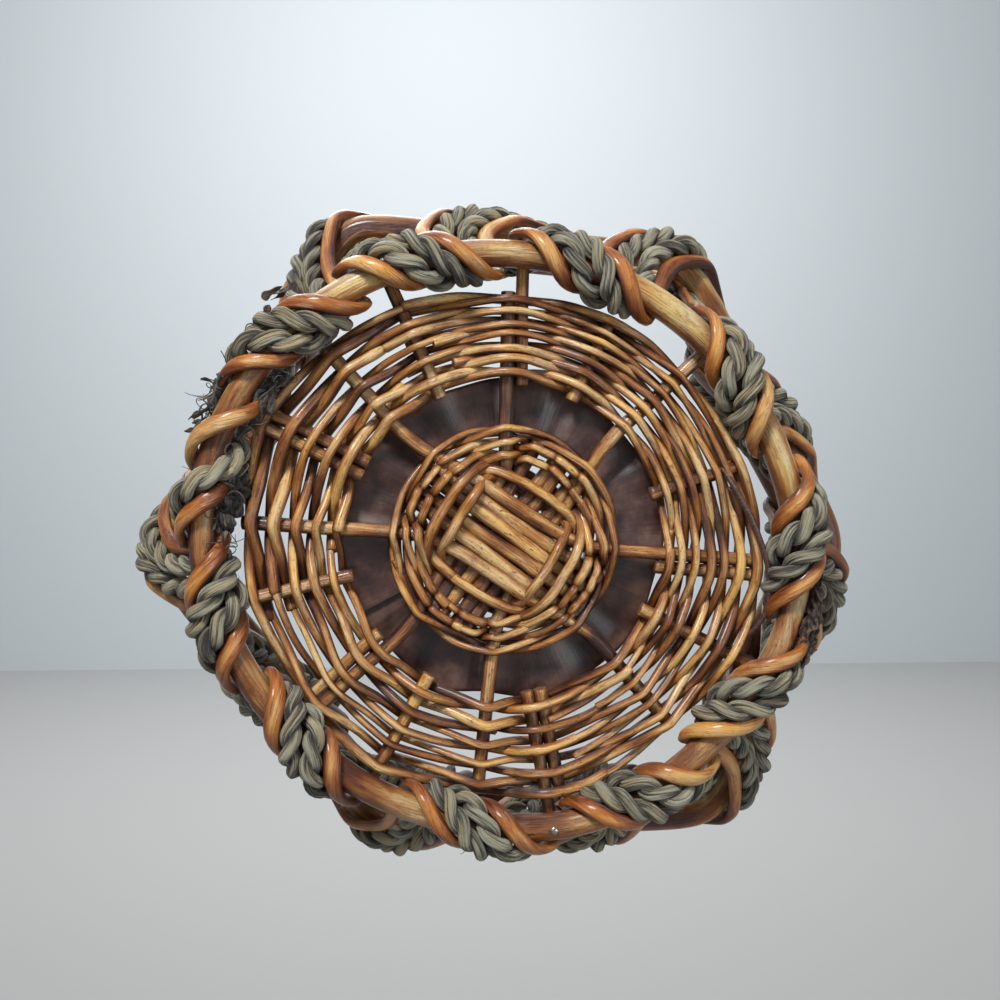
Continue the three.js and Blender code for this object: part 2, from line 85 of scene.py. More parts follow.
# The lacing, as in the part's source, but with more stations round the foot and the middle.
CROSSINGS = (14.8, 44, 73.2, 107, 145, 180, 212, 241.2, 276, 315, 346.2)
TURN_SKIP = 2
ROPE_REACH = 9.95
ROD_REACH = 8.95
ROPE_SIDEWAYS = 4.75
ROD_SIDEWAYS = 12.65
FOOT_SWEEP = 5.75
FOOT_TURNS = (10, 33, 56, 78, 96, 112)
MID_TURNS = (-30, -10, 10)
MID_SWEEPS = (4.4, 5.5, 6.6)
MID_INNER_SWEEP = 5.0
RIM_SHARES = (0.46, 0.58)
RIM_TURNS = (-15, 37.5, 90, 142.5, 195)
RISING_SHARES = (0.3, 0.7)
FALLING_SHARES = (0.45, 0.72)
# How many stations before its first one a closed strand begins, which is where it falls inside the basket.
HIDDEN_JOIN = 9
# How many stations the broken rope lacks at each end, and how long a stretch of it comes apart there.
BROKEN_OFF = 6
FRAYED_LENGTH = 26.0

# The base, as in the part's source, but with its slath turned further, so that the spokes bend less.
STICK_RADIUS = 2.9
STICK_LEVEL = 21.07
LAYER_STEP = 2.66
STICK_PITCH = 6.1
LONG_OFFSET = 15.25
SLATH_DEGREES = 32.0
LONG_STICKS = ((-1, 47, 185), (-1, 4, 228), (1, 137, 276), (1, 91, 318))
LAYER_NAMES = {-1: "lower", 1: "upper"}
STAKE_DEGREES = (27, 66, 116, 163, 207, 259, 299, 347)
PAIRED_STAKES = (27, 259)
PAIRED_SPOKES = (91, 185, 318)
LAYER_FLAT = 30.0
LAYERS_MEET = 44.0
STAKE_INNER = 66.05
# How far the short sticks reach between the rosette's rows.
SHORT_REACH = 43.0
# Where the base's outer face lies, and how deep the base is.
OUTER_FACE = 14.0
BASE_DEPTH = 14.0
SPLINT_INNER = 44.0
SPLINT_OUTER = 73.0
SPLINT_LEVEL = 28.07
SPLINT_THICKNESS = 1.2
# The weaving: how many full rows there are, and from and to what radius they go.
BAND_ROWS = 10
BAND_FIRST, BAND_LAST = 70.0, 106.6
ROSETTE_ROWS = 4
ROSETTE_FIRST, ROSETTE_LAST = 36.2, 47.4

# How far the foot hoop strays from a circle, by the angle round it, as bent by hand.
FOOT_WOBBLE = (
    (4, 2.8),
    (28, 2.3),
    (54, -0.3),
    (98, -5.0),
    (123, -5.2),
    (140, -4.6),
    (164, -3.1),
    (191, 4.2),
    (226, -3.3),
    (251, 1.5),
    (280, -5.2),
    (320, -5.2),
    (336, -2.6),
)
# It strays fully at the larger of these radii, and no more above the second of these heights.
WOBBLE_RADII = (78, 114)
WOBBLE_HEIGHTS = (18, 62)
# What is lower than this is pressed flat by the basket's weight.
PRESSED = 1.0

# How far apart the points of a middle line are.
POLE_STEP = 2.0
ROD_STEP = 2.0
ROPE_STEP = 1.6
STICK_STEP = 1.6
WEAVER_STEP = 1.7
FINE_STEP = 1.2
WAD_STEP = 0.6

# How far apart the old buds of sticks and weavers are.
STICK_BUD_STEP = 38
WEAVER_BUD_STEP = 60

# How far the grain's pattern moves on from one rod to the next, so that no two look alike.
ROD_GRAIN = 977.0
ROPE_GRAIN = 1371.0
WEAVER_GRAIN = 311.0
WAD_GRAIN = 71.0
BAST_WAD_GRAIN = 431.0
HAIR_GRAIN = 3.1
END_GRAIN = 7.7
SHRED_GRAIN = 5.3
BAST_GRAIN = 4.1

# The number with which each kind of piece draws its random differences. Like pieces count on from it.
FOOT_DICE, MID_DICE, RIM_DICE = 11, 12, 13
ROD_DICE = (21, 22)
ROPE_DICE = (31, 37)
LONG_DICE = 100
SHORT_DICE = 104
STAKE_DICE = 112
BAND_DICE = 300
ADDED_DICE = 340
BLACKENED_DICE = 370
TIE_DICE = 400
ROSETTE_DICE = 420
BARK_DICE = 500
FIBRE_DICE = 600
BAST_DICE = 620

# A little more than a whole turn in degrees, for what wanders round the basket.
ROUND = 400


def always(value):
    """The same value at every angle."""
    return lambda angle: value


def polar(radius, degrees, z):
    a = math.radians(degrees)
    return np.array([radius * math.cos(a), radius * math.sin(a), z])


def angles_of(points):
    return np.degrees(np.arctan2(points[:, 1], points[:, 0])) % 360


def distances_of(points):
    """How far the points are from the basket's axis."""
    return np.hypot(points[:, 0], points[:, 1])


def turn_from(start, angle):
    """The shorter turn from one angle to another, in degrees."""
    return (angle - start + 180) % 360 - 180


def turn_between(a, b):
    return abs(turn_from(b, a))


def listed(table, angle):
    """The value at an angle, from a table of angles and values."""
    return np.interp(angle, [a for a, _ in table], [value for _, value in table])


def smoothstep(x):
    x = np.clip(x, 0.0, 1.0)
    return x * x * (3 - 2 * x)


def rise(x, low, high):
    """Goes smoothly from 0 at low to 1 at high."""
    return smoothstep((x - low) / (high - low))


def wander(rng, length, wavelength, size):
    """A smooth random line: its value at a place along a rod, within about plus or minus size."""
    knots = rng.uniform(-1, 1, int(length / wavelength) + 4) * size

    def at(s):
        x = np.asarray(s, float) / wavelength
        k = np.clip(x.astype(int), 0, len(knots) - 2)
        t = smoothstep(x - k)
        return knots[k] * (1 - t) + knots[k + 1] * t

    return at


def wavering(rng, s, wavelength, size):
    """The values of a smooth random line at all the places along a rod."""
    return wander(rng, s[-1], wavelength, size)(s)


def foot_wobble(points):
    """The hand-bent wobble of the foot hoop, and of whatever lies beside it."""
    angle = angles_of(points)
    known = [(a + turn, w) for turn in (-360, 0, 360) for a, w in FOOT_WOBBLE]
    # Rounded off, so that the pole bends and doesn't break at the places listed.
    spreads = (0, -7, 7, -14, 14)
    wobble = sum(listed(known, (angle + spread) % 360) for spread in spreads) / len(spreads)
    radius = distances_of(points)
    near = rise(radius, *WOBBLE_RADII)
    low = 1 - rise(points[:, 2], *WOBBLE_HEIGHTS)
    share = 1 + wobble * near * low / np.maximum(radius, 1)
    return points * np.stack([share, share, np.ones(len(points))], 1)


def settled(points):
    """What the basket stands on is pressed flat on the floor."""
    z = points[:, 2]
    pressed = np.where(z < PRESSED, PRESSED * np.exp(np.minimum((z - PRESSED) / PRESSED, 0)), z)
    return np.column_stack([points[:, :2], pressed])


# Curves and tubes.
def along(points):
    """How far along the curve each point is."""
    return np.concatenate([[0], np.cumsum(np.linalg.norm(np.diff(points, axis=0), axis=1))])


def evenly(points, step):
    """Points on the same line that are a step apart."""
    lengths = along(points)
    count = max(3, int(round(lengths[-1] / step)) + 1)
    at = np.linspace(0, lengths[-1], count)
    return np.stack([np.interp(at, lengths, points[:, k]) for k in range(3)], 1)


def smooth_path(points, step):
    """A smooth curve through the points, as points that are a step apart."""
    p = np.asarray(points, float)
    gaps = np.sqrt(np.maximum(np.linalg.norm(np.diff(p, axis=0), axis=1), 1e-6))
    slopes = np.diff(p, axis=0) / gaps[:, None]
    tangents = np.empty_like(p)
    tangents[0], tangents[-1] = slopes[0], slopes[-1]
    inner = slopes[:-1] * gaps[1:, None] + slopes[1:] * gaps[:-1, None]
    tangents[1:-1] = inner / (gaps[:-1] + gaps[1:])[:, None]
    u = np.linspace(0, 1, 17)[:-1][:, None]
    h00, h10 = 2 * u**3 - 3 * u**2 + 1, u**3 - 2 * u**2 + u
    h01, h11 = -2 * u**3 + 3 * u**2, u**3 - u**2
    dense = [
        h00 * p[i] + h10 * gaps[i] * tangents[i] + h01 * p[i + 1] + h11 * gaps[i] * tangents[i + 1]
        for i in range(len(p) - 1)
    ]
    return evenly(np.concatenate([*dense, p[-1:]]), step)


def unit(v):
    return v / np.maximum(np.linalg.norm(v, axis=-1, keepdims=True), 1e-12)


def tangents_of(points):
    return unit(np.gradient(points, axis=0))


def carried_frames(points, first=(0.3, 0.2, 1.0)):
    """Two directions across the curve at each point, carried along it without twist."""
    t = tangents_of(points)
    n = np.empty_like(t)
    start = np.asarray(first, float)
    start = start - t[0] * (start @ t[0])
    n[0] = start / np.linalg.norm(start)
    for i in range(1, len(t)):
        v = n[i - 1] - t[i] * (n[i - 1] @ t[i])
        n[i] = v / np.linalg.norm(v)
    return n, np.cross(t, n)


def facing_frames(points, facings):
    """Two directions across the curve at each point, of which the first faces as it is told to."""
    t = tangents_of(points)
    n = unit(facings - t * np.sum(facings * t, axis=1)[:, None])
    return n, np.cross(t, n)


def grid_corners(rows, columns, first=0):
    """The four corners of every cell of a grid, as its points' numbers."""
    i = first + np.arange(rows - 1)[:, None] * columns
    j = np.arange(columns - 1)[None, :]
    return [i + j, i + j + 1, i + columns + j + 1, i + columns + j]


class Piece:
    """Gathers the tubes of one piece and makes its mesh."""

    def __init__(self):
        self.points, self.quads, self.tris = [], [], []
        self.grain, self.tone, self.cut, self.wear_and_shade = [], [], [], []
        self.count = 0

    def add(self, points, grain, tone, cut, wear_and_shade):
        """Add points with what the materials read: grain runs along the rod, tone is how pale it is, cut says
        where its end is cut, and wear_and_shade how light it is painted, partly for wear and partly as
        painted highlight and shade. Returns the first point's number."""
        start = self.count
        self.points.append(points)
        self.grain.append(grain)
        for values, value in ((self.tone, tone), (self.cut, cut), (self.wear_and_shade, wear_and_shade)):
            values.append(np.broadcast_to(value, len(points)).astype(float))
        self.count += len(points)
        return start

    def tube(
        self,
        path,
        radii,
        sides,
        frames=None,
        flat=1.0,
        tone=0.5,
        lumps=None,
        wear_and_shade_from=None,
        offset=0.0,
        lit_crowns=None,
    ):
        """A rod round a path. flat is its thickness over its width, and frames its width's and thickness's
        ways. lumps changes the radius by the place along it and the angle round it. lit_crowns are the
        directions in which the rod is painted light, with painted shade on its other side, where
        wear_and_shade_from doesn't give them."""
        path = np.asarray(path, float)
        n, b = frames if frames is not None else carried_frames(path)
        s = along(path)
        radii = np.broadcast_to(np.asarray(radii, float), len(path))
        turn = np.linspace(0, 2 * np.pi, sides, endpoint=False)
        c, d = np.cos(turn), np.sin(turn)
        size = radii[:, None] * np.ones(sides)
        if lumps is not None:
            size = size * lumps(s[:, None], turn[None, :])
        to_front = c[None, :, None] * n[:, None, :]
        to_side = d[None, :, None] * b[:, None, :]
        ring = path[:, None, :] + size[..., None] * (to_front * flat + to_side)
        outward = to_front + to_side
        grain = np.stack([size * c, size * d, np.broadcast_to((s + offset)[:, None], size.shape)], -1)
        if lit_crowns is None:
            wear_and_shade = self.lit_and_worn(ring, outward, wear_and_shade_from)
        else:
            # Painted highlight on the side that faces these directions, and painted shade on the side away
            # from them.
            wear_and_shade = 0.5 + 0.5 * np.sum(outward * lit_crowns[:, None, :], -1)
        tone = np.broadcast_to(np.reshape(tone, (-1, 1)), size.shape)
        start = self.add(ring.reshape(-1, 3), grain.reshape(-1, 3), tone.reshape(-1), 0.0, wear_and_shade.reshape(-1))
        i = start + np.arange(len(path) - 1)[:, None] * sides
        j = np.arange(sides)[None, :]
        k = (j + 1) % sides
        self.quads.append(np.stack([i + j, i + k, i + sides + k, i + sides + j], -1).reshape(-1, 4))
        t = tangents_of(path)
        for end, way in ((0, -1), (len(path) - 1, 1)):
            first = start + end * sides
            self.close(first, path[end], ring[end], t[end] * way, grain[end], tone[end], radii[end], way > 0)

    @staticmethod
    def lit_and_worn(ring, outward, wear_and_shade_from):
        """How light each place is painted, partly for wear and partly as painted light. The base's rods get a
        painted highlight on crests that face out of the base or into the basket, and painted shade on their
        sides and the deeper they lie in the base. The hoops and lacing are lit outside, underneath low down
        and less so inside, with painted shade on the sides between.
        """
        if wear_and_shade_from == "below":
            # Painted shade: the further a place lies into the base from the face it looks out of, the darker
            # it is, and a rod's sides are darker than its crests, which get a painted highlight.
            deep = np.clip((ring[..., 2] - OUTER_FACE) / BASE_DEPTH, 0, 1)
            deep = np.where(outward[..., 2] < 0, deep, 1 - deep)
            return np.clip(np.abs(outward[..., 2]), 0, 1) ** 1.2 * (1 - 0.6 * smoothstep(deep))
        if wear_and_shade_from == "outside":
            # Painted light: outer faces, and low down the undersides, are lighter, and the sides between get
            # painted shade. This stands partly for wear.
            radial = ring.copy()
            radial[..., 2] = 0
            out = np.sum(outward * unit(radial), -1)
            low = np.clip(-outward[..., 2], 0, 1) * smoothstep((34 - ring[..., 2]) / 20)
            return np.clip(np.maximum(np.maximum(out, low), -0.6 * out), 0, 1) ** 1.4
        return np.full(ring.shape[:-1], 0.5)

    def close(self, first, centre, ring, outward, grain, tone, radius, forward):
        """A slightly domed cut end."""
        sides = len(ring)
        inner = centre + (ring - centre) * 0.84 + outward * radius * 0.09
        tip = centre + outward * radius * 0.11
        points = np.concatenate([inner, tip[None]])
        grain = np.concatenate([grain, grain.mean(0, keepdims=True)])
        start = self.add(points, grain, float(np.mean(tone)), 1.0, 0.5)
        j = np.arange(sides)
        k = (j + 1) % sides
        if not forward:
            j, k = k, j
        self.quads.append(np.stack([first + j, first + k, start + k, start + j], -1))
        self.tris.append(np.stack([start + j, start + k, np.full(sides, start + sides)], -1))

    def make(self, name, material, slot, replaced=()):
        """Make the piece's mesh in metres, in place of the solids that it replaces."""
        points = settled(foot_wobble(np.concatenate(self.points)))
        quads = np.concatenate(self.quads)
        tris = np.concatenate(self.tris) if self.tris else np.zeros((0, 3), int)
        mesh = bpy.data.meshes.new(name)
        mesh.vertices.add(len(points))
        mesh.vertices.foreach_set("co", (points * METRES).astype(np.float32).ravel())
        corners = np.concatenate([quads.ravel(), tris.ravel()]).astype(np.int32)
        mesh.loops.add(len(corners))
        mesh.loops.foreach_set("vertex_index", corners)
        starts = np.concatenate([np.arange(len(quads)) * 4, len(quads) * 4 + np.arange(len(tris)) * 3])
        mesh.polygons.add(len(starts))
        mesh.polygons.foreach_set("loop_start", starts.astype(np.int32))
        mesh.polygons.foreach_set("use_smooth", np.ones(len(starts), bool))
        mesh.update(calc_edges=True)
        for kind, values in (("tone", self.tone), ("cut", self.cut), ("wear_and_shade", self.wear_and_shade)):
            layer = mesh.attributes.new(kind, "FLOAT", "POINT")
            layer.data.foreach_set("value", np.concatenate(values).astype(np.float32))
        layer = mesh.attributes.new("grain", "FLOAT_VECTOR", "POINT")
        layer.data.foreach_set("vector", np.concatenate(self.grain).astype(np.float32).ravel())
        mesh.materials.append(material)
        obj = bpy.data.objects.new(name, mesh)
        bpy.context.scene.collection.objects.link(obj)
        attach(obj, "root")
        if replaced:
            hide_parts(*replaced)


# Hoops.
class KinkedOutline:
    """A hexagon with softened corners."""

    def __init__(self, radii):
        corners = [polar(r, a, 0) for r, a in zip(radii, CORNER_DEGREES)]
        self.sides = []
        for here, there in zip(corners, corners[1:] + corners[:1]):
            normal = unit(np.array([there[1] - here[1], here[0] - there[0], 0]))
            self.sides.append((math.atan2(normal[1], normal[0]), float(here @ normal)))

    def radius(self, angle):
        a = math.radians(angle)
        reaches = [max(0.0, math.cos(a - side) / distance) for side, distance in self.sides]
        return sum(reach**CORNER_HARDNESS for reach in reaches) ** (-1 / CORNER_HARDNESS)

    def widening(self, angle):
        """How much longer a slanting side is than the circle is there."""
        change = self.radius(angle + 0.5) - self.radius(angle - 0.5)
        return math.hypot(1, change / (self.radius(angle) * math.radians(1)))


class RoundOutline:
    """The foot's circle, at every angle alike."""

    def radius(self, _angle):
        return FOOT_RADIUS

    def widening(self, _angle):
        return 1.0


FOOT = RoundOutline()
MID = KinkedOutline(MID_CORNER_RADII)
RIM = KinkedOutline([r + RIM_GROWTH for r in MID_CORNER_RADII])


# Lacing.
def crossing_at(index):
    return CROSSINGS[index % len(CROSSINGS)] + 360 * (index // len(CROSSINGS))


def spacing_after(index):
    return crossing_at(index + 1) - crossing_at(index)


class Station:
    """A place of the ribbon: the angle of its middle, its distance from the axis and its height at any angle
    beside that, and the way it faces there."""

    def __init__(self, angle, place, out):
        self.angle, self.place, self.out = angle, place, out

    def point(self, angle):
        radius, height = self.place(angle)
        return polar(radius, angle, height)


def round_hoop(outline, height, reach, angle, turn):
    """A station on a hoop, at a turn round the pole."""
    out = (math.cos(math.radians(turn)), math.sin(math.radians(turn)))

    def place(at):
        return (outline.radius(at) + reach * outline.widening(at) * out[0], height + reach * out[1])

    return Station(angle, place, out)


def between(start, end, share, angle, out):
    """A station on the straight stretch from one hoop to the next."""

    def place(at):
        a, b = start.place(at), end.place(at)
        return (a[0] + (b[0] - a[0]) * share, a[1] + (b[1] - a[1]) * share)

    return Station(angle, place, out)


def turn_stations(index, reach, stretch):
    """The stations of one turn of the ribbon: up the outside, over the rim and down inside."""
    start, end = crossing_at(index), crossing_at(index + TURN_SKIP)
    rise_at = start + spacing_after(index) / 4
    fall_at = end - spacing_after(index + TURN_SKIP - 1) / 4
    foot_reach, mid_reach, rim_reach = (reach * more for more in stretch)

    def at_foot(angle, turn):
        return round_hoop(FOOT, FOOT_HEIGHT, foot_reach, angle, turn)

    def at_mid(angle, turn):
        return round_hoop(MID, MID_HEIGHT, mid_reach, angle, turn)

    leaving = [at_foot(start + FOOT_SWEEP * t / 90, -90 - t) for t in FOOT_TURNS]
    arriving = [at_foot(end - FOOT_SWEEP * t / 90, -90 + t) for t in FOOT_TURNS]
    mid_outer = [at_mid(rise_at + sweep, turn) for turn, sweep in zip(MID_TURNS, MID_SWEEPS)]
    mid_inner = at_mid(fall_at - MID_INNER_SWEEP, 180)
    rim = []
    for i, turn in enumerate(RIM_TURNS):
        share = RIM_SHARES[0] + (RIM_SHARES[1] - RIM_SHARES[0]) * i / (len(RIM_TURNS) - 1)
        rim.append(round_hoop(RIM, RIM_HEIGHT, rim_reach, start + (end - start) * share, turn))
    rising = [between(leaving[-1], mid_outer[0], s, rise_at, (0.8, -0.6)) for s in RISING_SHARES]
    falling = [between(mid_inner, arriving[-1], s, fall_at, (1, 0)) for s in FALLING_SHARES]
    return [*leaving, *rising, *mid_outer, *rim, mid_inner, *falling, *arriving[::-1]]


def degrees_per_millimetre(stations):
    """How many degrees a strand lies beside the ribbon's middle for each millimetre, at each station. It is
    more where the ribbon slants, so that the strands stay as far apart there."""
    middle = [s.point(s.angle) for s in stations]
    sides = [s.point(s.angle + 1) - m for s, m in zip(stations, middle)]
    needs = []
    for k in range(len(middle) - 1):
        direction = unit(middle[k + 1] - middle[k])
        flat = (unit(sides[k]) + unit(sides[k + 1])) / 2
        needs.append(1 / math.sqrt(flat @ flat - (direction @ flat) ** 2))
    found = []
    for i, side in enumerate(sides):
        before = needs[i - 1] if i > 0 else 1
        after = needs[i] if i < len(needs) else 1
        found.append(max(before, after) / np.linalg.norm(side))
    return found


def strand(reach, sideways, dropped, step, stretch=(1.01, 1.02, 1.03)):
    """The smooth middle line of a rope or rod that winds round the hoops, and the way it faces. It comes back
    to its start, or has a break there where stations are dropped at both its ends. stretch is how much wider
    it goes round the foot, the middle and the rim."""
    stations = [s for turn in range(len(CROSSINGS)) for s in turn_stations(turn * TURN_SKIP, reach, stretch)]
    per = degrees_per_millimetre(stations)
    points, facings = [], []
    for i in range(dropped, len(stations) - dropped):
        station = stations[i]
        angle = station.angle + sideways * per[i]
        points.append(station.point(angle))
        facings.append(polar(station.out[0], angle, station.out[1]))
    if not dropped:
        # The ends meet inside the basket, and run on beside each other for one station.
        points = [*points[-HIDDEN_JOIN:], *points[: 1 - HIDDEN_JOIN]]
        facings = [*facings[-HIDDEN_JOIN:], *facings[: 1 - HIDDEN_JOIN]]
    points, facings = np.array(points), np.array(facings)
    path = smooth_path(points, step)
    share = along(path) / along(path)[-1]
    known = along(points) / along(points)[-1]
    faced = np.stack([np.interp(share, known, facings[:, k]) for k in range(3)], 1)
    return path, faced


# Materials.
def darkened(tint, share):
    return tuple(c * share for c in tint)


class Nodes:
    """A short way to write a material's nodes."""

    def __init__(self, name):
        self.material = bpy.data.materials.new(name)
        self.material.use_nodes = True
        self.tree = self.material.node_tree
        self.tree.nodes.clear()
        self.shader = self.new("ShaderNodeBsdfPrincipled")
        self.new("ShaderNodeOutputMaterial", Surface=self.shader.outputs["BSDF"])

    def put(self, socket, value):
        """Link what another node gives, or set a plain value on the socket."""
        if isinstance(value, bpy.types.NodeSocket):
            self.tree.links.new(value, socket)
        elif socket.type == "RGBA":
            socket.default_value = (*value, 1)
        else:
            socket.default_value = value

    def new(self, kind, **inputs):
        node = self.tree.nodes.new(kind)
        for key, value in inputs.items():
            self.put(node.inputs[key], value)
        return node

    def attribute(self, name, output="Fac"):
        node = self.new("ShaderNodeAttribute")
        node.attribute_name = name
        return node.outputs[output]

    def noise(self, vector, scale, detail, rough=0.55):
        """Noise with a scale of its own each way, as a streak's is."""
        scaled = self.new("ShaderNodeMapping", Vector=vector, Scale=scale).outputs["Vector"]
        node = self.new("ShaderNodeTexNoise", Vector=scaled, Scale=1.0, Detail=detail, Roughness=rough)
        return node.outputs["Fac"]

    def math(self, operation, *values, clamp=False):
        node = self.new("ShaderNodeMath")
        node.operation = operation
        node.use_clamp = clamp
        for socket, value in zip(node.inputs, values):
            self.put(socket, value)
        return node.outputs[0]

    def total(self, *parts):
        """A half, and each value's distance from a half times its weight."""
        found = 0.5
        for value, weight in parts:
            found = self.math("SUBTRACT", self.math("MULTIPLY_ADD", value, weight, found), weight / 2)
        return found

    def span(self, value, low, high, to_low, to_high):
        """Goes smoothly from to_low to to_high while the value goes from low to high."""
        node = self.new("ShaderNodeMapRange", Value=value)
        node.interpolation_type = "SMOOTHSTEP"
        for key, v in zip(("From Min", "From Max", "To Min", "To Max"), (low, high, to_low, to_high)):
            node.inputs[key].default_value = v
        return node.outputs["Result"]

    def ramp(self, value, *stops):
        node = self.new("ShaderNodeValToRGB", Fac=value)
        elements = node.color_ramp.elements
        while len(elements) < len(stops):
            elements.new(0.5)
        for element, (at, colour) in zip(elements, stops):
            element.position = at
            element.color = (*colour, 1)
        return node.outputs["Color"]

    def mix(self, factor, a, b, blend="MIX"):
        node = self.new("ShaderNodeMix")
        node.data_type = "RGBA"
        node.blend_type = blend
        # A Mix node has sockets for each type of data. These are its factor, its two colours and its result.
        for index, value in ((0, factor), (6, a), (7, b)):
            self.put(node.inputs[index], value)
        return node.outputs[2]

    def painted(self, colour, spots, low, high, most, tint):
        """The colour, with another laid over it where the noise of the spots is high."""
        return self.mix(self.span(spots, low, high, 0.0, most), colour, tint)

    def tinged(self, colour, patches, low, high, most, tint):
        """The colour, multiplied by a tint where the noise of the patches is high."""
        return self.painted(colour, patches, low, high, most, self.mix(1.0, colour, tint, "MULTIPLY"))

    def bump(self, height, strength, distance):
        node = self.new("ShaderNodeBump", Height=height, Strength=strength, Distance=distance)
        return node.outputs["Normal"]

    def finish(self, colour, roughness, normal=None, **plain):
        """The material, with what changes over the surface linked and the plain values set on the shader."""
        self.put(self.shader.inputs["Base Color"], colour)
        self.put(self.shader.inputs["Roughness"], roughness)
        if normal is not None:
            self.put(self.shader.inputs["Normal"], normal)
        for key, value in plain.items():
            self.shader.inputs[key.replace("_", " ")].default_value = value
        return self.material


def varnished_willow(name, dark, mid, light, pale, streak, speck, wear_and_shade_weight):
    """Stained and varnished willow: streaks along the rod, dark specks, and a rubbed look that is partly
    wear and partly painted light: a painted highlight where it stands out, and painted shade on its sides
    and deeper in.
    """
    m = Nodes(name)
    grain = m.attribute("grain", "Vector")
    cut = m.attribute("cut")
    fine = m.noise(grain, (1.9, 1.9, 0.06), 3.0, 0.6)
    broad = m.noise(grain, (0.42, 0.42, 0.045), 3.0, 0.6)
    slow = m.noise(grain, (0.09, 0.09, 0.03), 2.0, 0.5)
    tone, wear_and_shade = m.attribute("tone"), m.attribute("wear_and_shade")
    # Painted light: the rubbed value lightens crests as a painted highlight and darkens sides and deeper
    # parts as painted shade, besides real wear.
    value = m.total((fine, streak * 0.7), (broad, streak), (slow, 1.5), (tone, 0.9), (wear_and_shade, wear_and_shade_weight))
    colour = m.ramp(value, (0.14, dark), (0.4, mid), (0.66, light), (0.92, pale))
    specks = m.noise(grain, (1.1, 1.1, 0.45), 2.0, 0.7)
    colour = m.painted(colour, specks, 0.61, 0.67, speck, darkened(dark, 0.25))
    scars = m.noise(grain, (0.4, 0.4, 0.1), 5.0, 0.8)
    colour = m.painted(colour, scars, 0.56, 0.7, 0.7, darkened(dark, 0.7))
    amber = m.noise(grain, (0.1, 0.1, 0.025), 3.0, 0.6)
    colour = m.tinged(colour, amber, 0.45, 0.6, 1.0, (1.05, 0.93, 0.62))
    violet = m.noise(grain, (0.22, 0.22, 0.07), 4.0, 0.7)
    colour = m.tinged(colour, violet, 0.52, 0.66, 0.8, (0.62, 0.5, 0.62))
    end_rings = m.ramp(fine, (0.3, darkened(dark, 0.6)), (0.7, light))
    colour = m.mix(m.math("MULTIPLY", cut, 0.8), colour, end_rings)
    rough_ends = m.math("MULTIPLY", cut, 0.35)
    rough = m.math("ADD", m.span(fine, 0.3, 0.75, 0.27, 0.42), rough_ends, clamp=True)
    normal = m.bump(m.total((fine, 0.8), (broad, 1.0), (scars, 1.0)), 0.7, 0.0013)
    return m.finish(colour, rough, normal, Coat_Weight=0.32, Coat_Roughness=0.18, Specular_IOR_Level=0.42)


def seagrass(name, dark, mid, light):
    """Twisted dry grass: fine fibres that run with the strand, dull, with pale and browned blades."""
    m = Nodes(name)
    grain = m.attribute("grain", "Vector")
    blades = m.noise(grain, (1.0, 1.0, 0.045), 2.0, 0.55)
    hairs = m.noise(grain, (3.2, 3.2, 0.11), 4.0, 0.7)
    slow = m.noise(grain, (0.05, 0.05, 0.02), 3.0, 0.55)
    # Painted light: each strand is lighter on its outer side, and darker where it meets the other strand, as
    # painted shade.
    lit_and_worn = m.math("SUBTRACT", m.attribute("wear_and_shade"), 0.2)
    value = m.total((blades, 2.5), (hairs, 2.5), (slow, 1.3), (m.attribute("tone"), 0.7), (lit_and_worn, 0.8))
    colour = m.ramp(value, (0.12, dark), (0.45, mid), (0.85, light))
    browned = m.noise(grain, (0.3, 0.3, 0.02), 2.0, 0.5)
    colour = m.tinged(colour, browned, 0.48, 0.62, 0.8, (1.1, 0.9, 0.62))
    normal = m.bump(m.total((blades, 1.0), (hairs, 0.9)), 1.0, 0.0026)
    rough = m.span(hairs, 0.3, 0.7, 0.5, 0.8)
    return m.finish(colour, rough, normal, Sheen_Weight=0.15, Sheen_Roughness=0.45)


def bark(name, dark, mid, light):
    """Dyed bark: dark, with a soft shine and faint lines across the band."""
    m = Nodes(name)
    grain = m.attribute("grain", "Vector")
    lines = m.noise(grain, (0.04, 0.9, 1.0), 4.0, 0.6)
    cloud = m.noise(grain, (0.07, 0.06, 1.0), 4.0, 0.6)
    colour = m.ramp(m.total((lines, 0.3), (cloud, 1.3)), (0.28, dark), (0.52, mid), (0.8, light))
    pits = m.noise(grain, (0.5, 0.7, 1.0), 3.0, 0.7)
    colour = m.painted(colour, pits, 0.64, 0.76, 0.5, darkened(dark, 0.4))
    rough = m.span(cloud, 0.3, 0.7, 0.3, 0.42)
    normal = m.bump(m.total((lines, 0.5), (cloud, 0.8)), 0.4, 0.0007)
    return m.finish(colour, rough, normal, Specular_IOR_Level=0.65, Coat_Weight=0.35, Coat_Roughness=0.28)


def steel(name, tint):
    """Worn bare steel."""
    m = Nodes(name)
    coordinates = m.new("ShaderNodeTexCoord").outputs["Object"]
    wear = m.noise(coordinates, (900, 900, 900), 3.0)
    colour = m.ramp(wear, (0.35, darkened(tint, 0.45)), (0.6, tint))
    return m.finish(colour, m.span(wear, 0.3, 0.7, 0.25, 0.45), m.bump(wear, 0.3, 0.0001), Metallic=1.0)


def plain_stage(name, tint):
    """Dull paint of the floor and wall."""
    m = Nodes(name)
    coordinates = m.new("ShaderNodeTexCoord").outputs["Object"]
    soft = m.noise(coordinates, (0.6, 0.6, 0.6), 2.0)
    return m.finish(m.painted(tint, soft, 0.3, 0.7, 0.06, darkened(tint, 0.9)), 0.9)


MATERIALS = {}


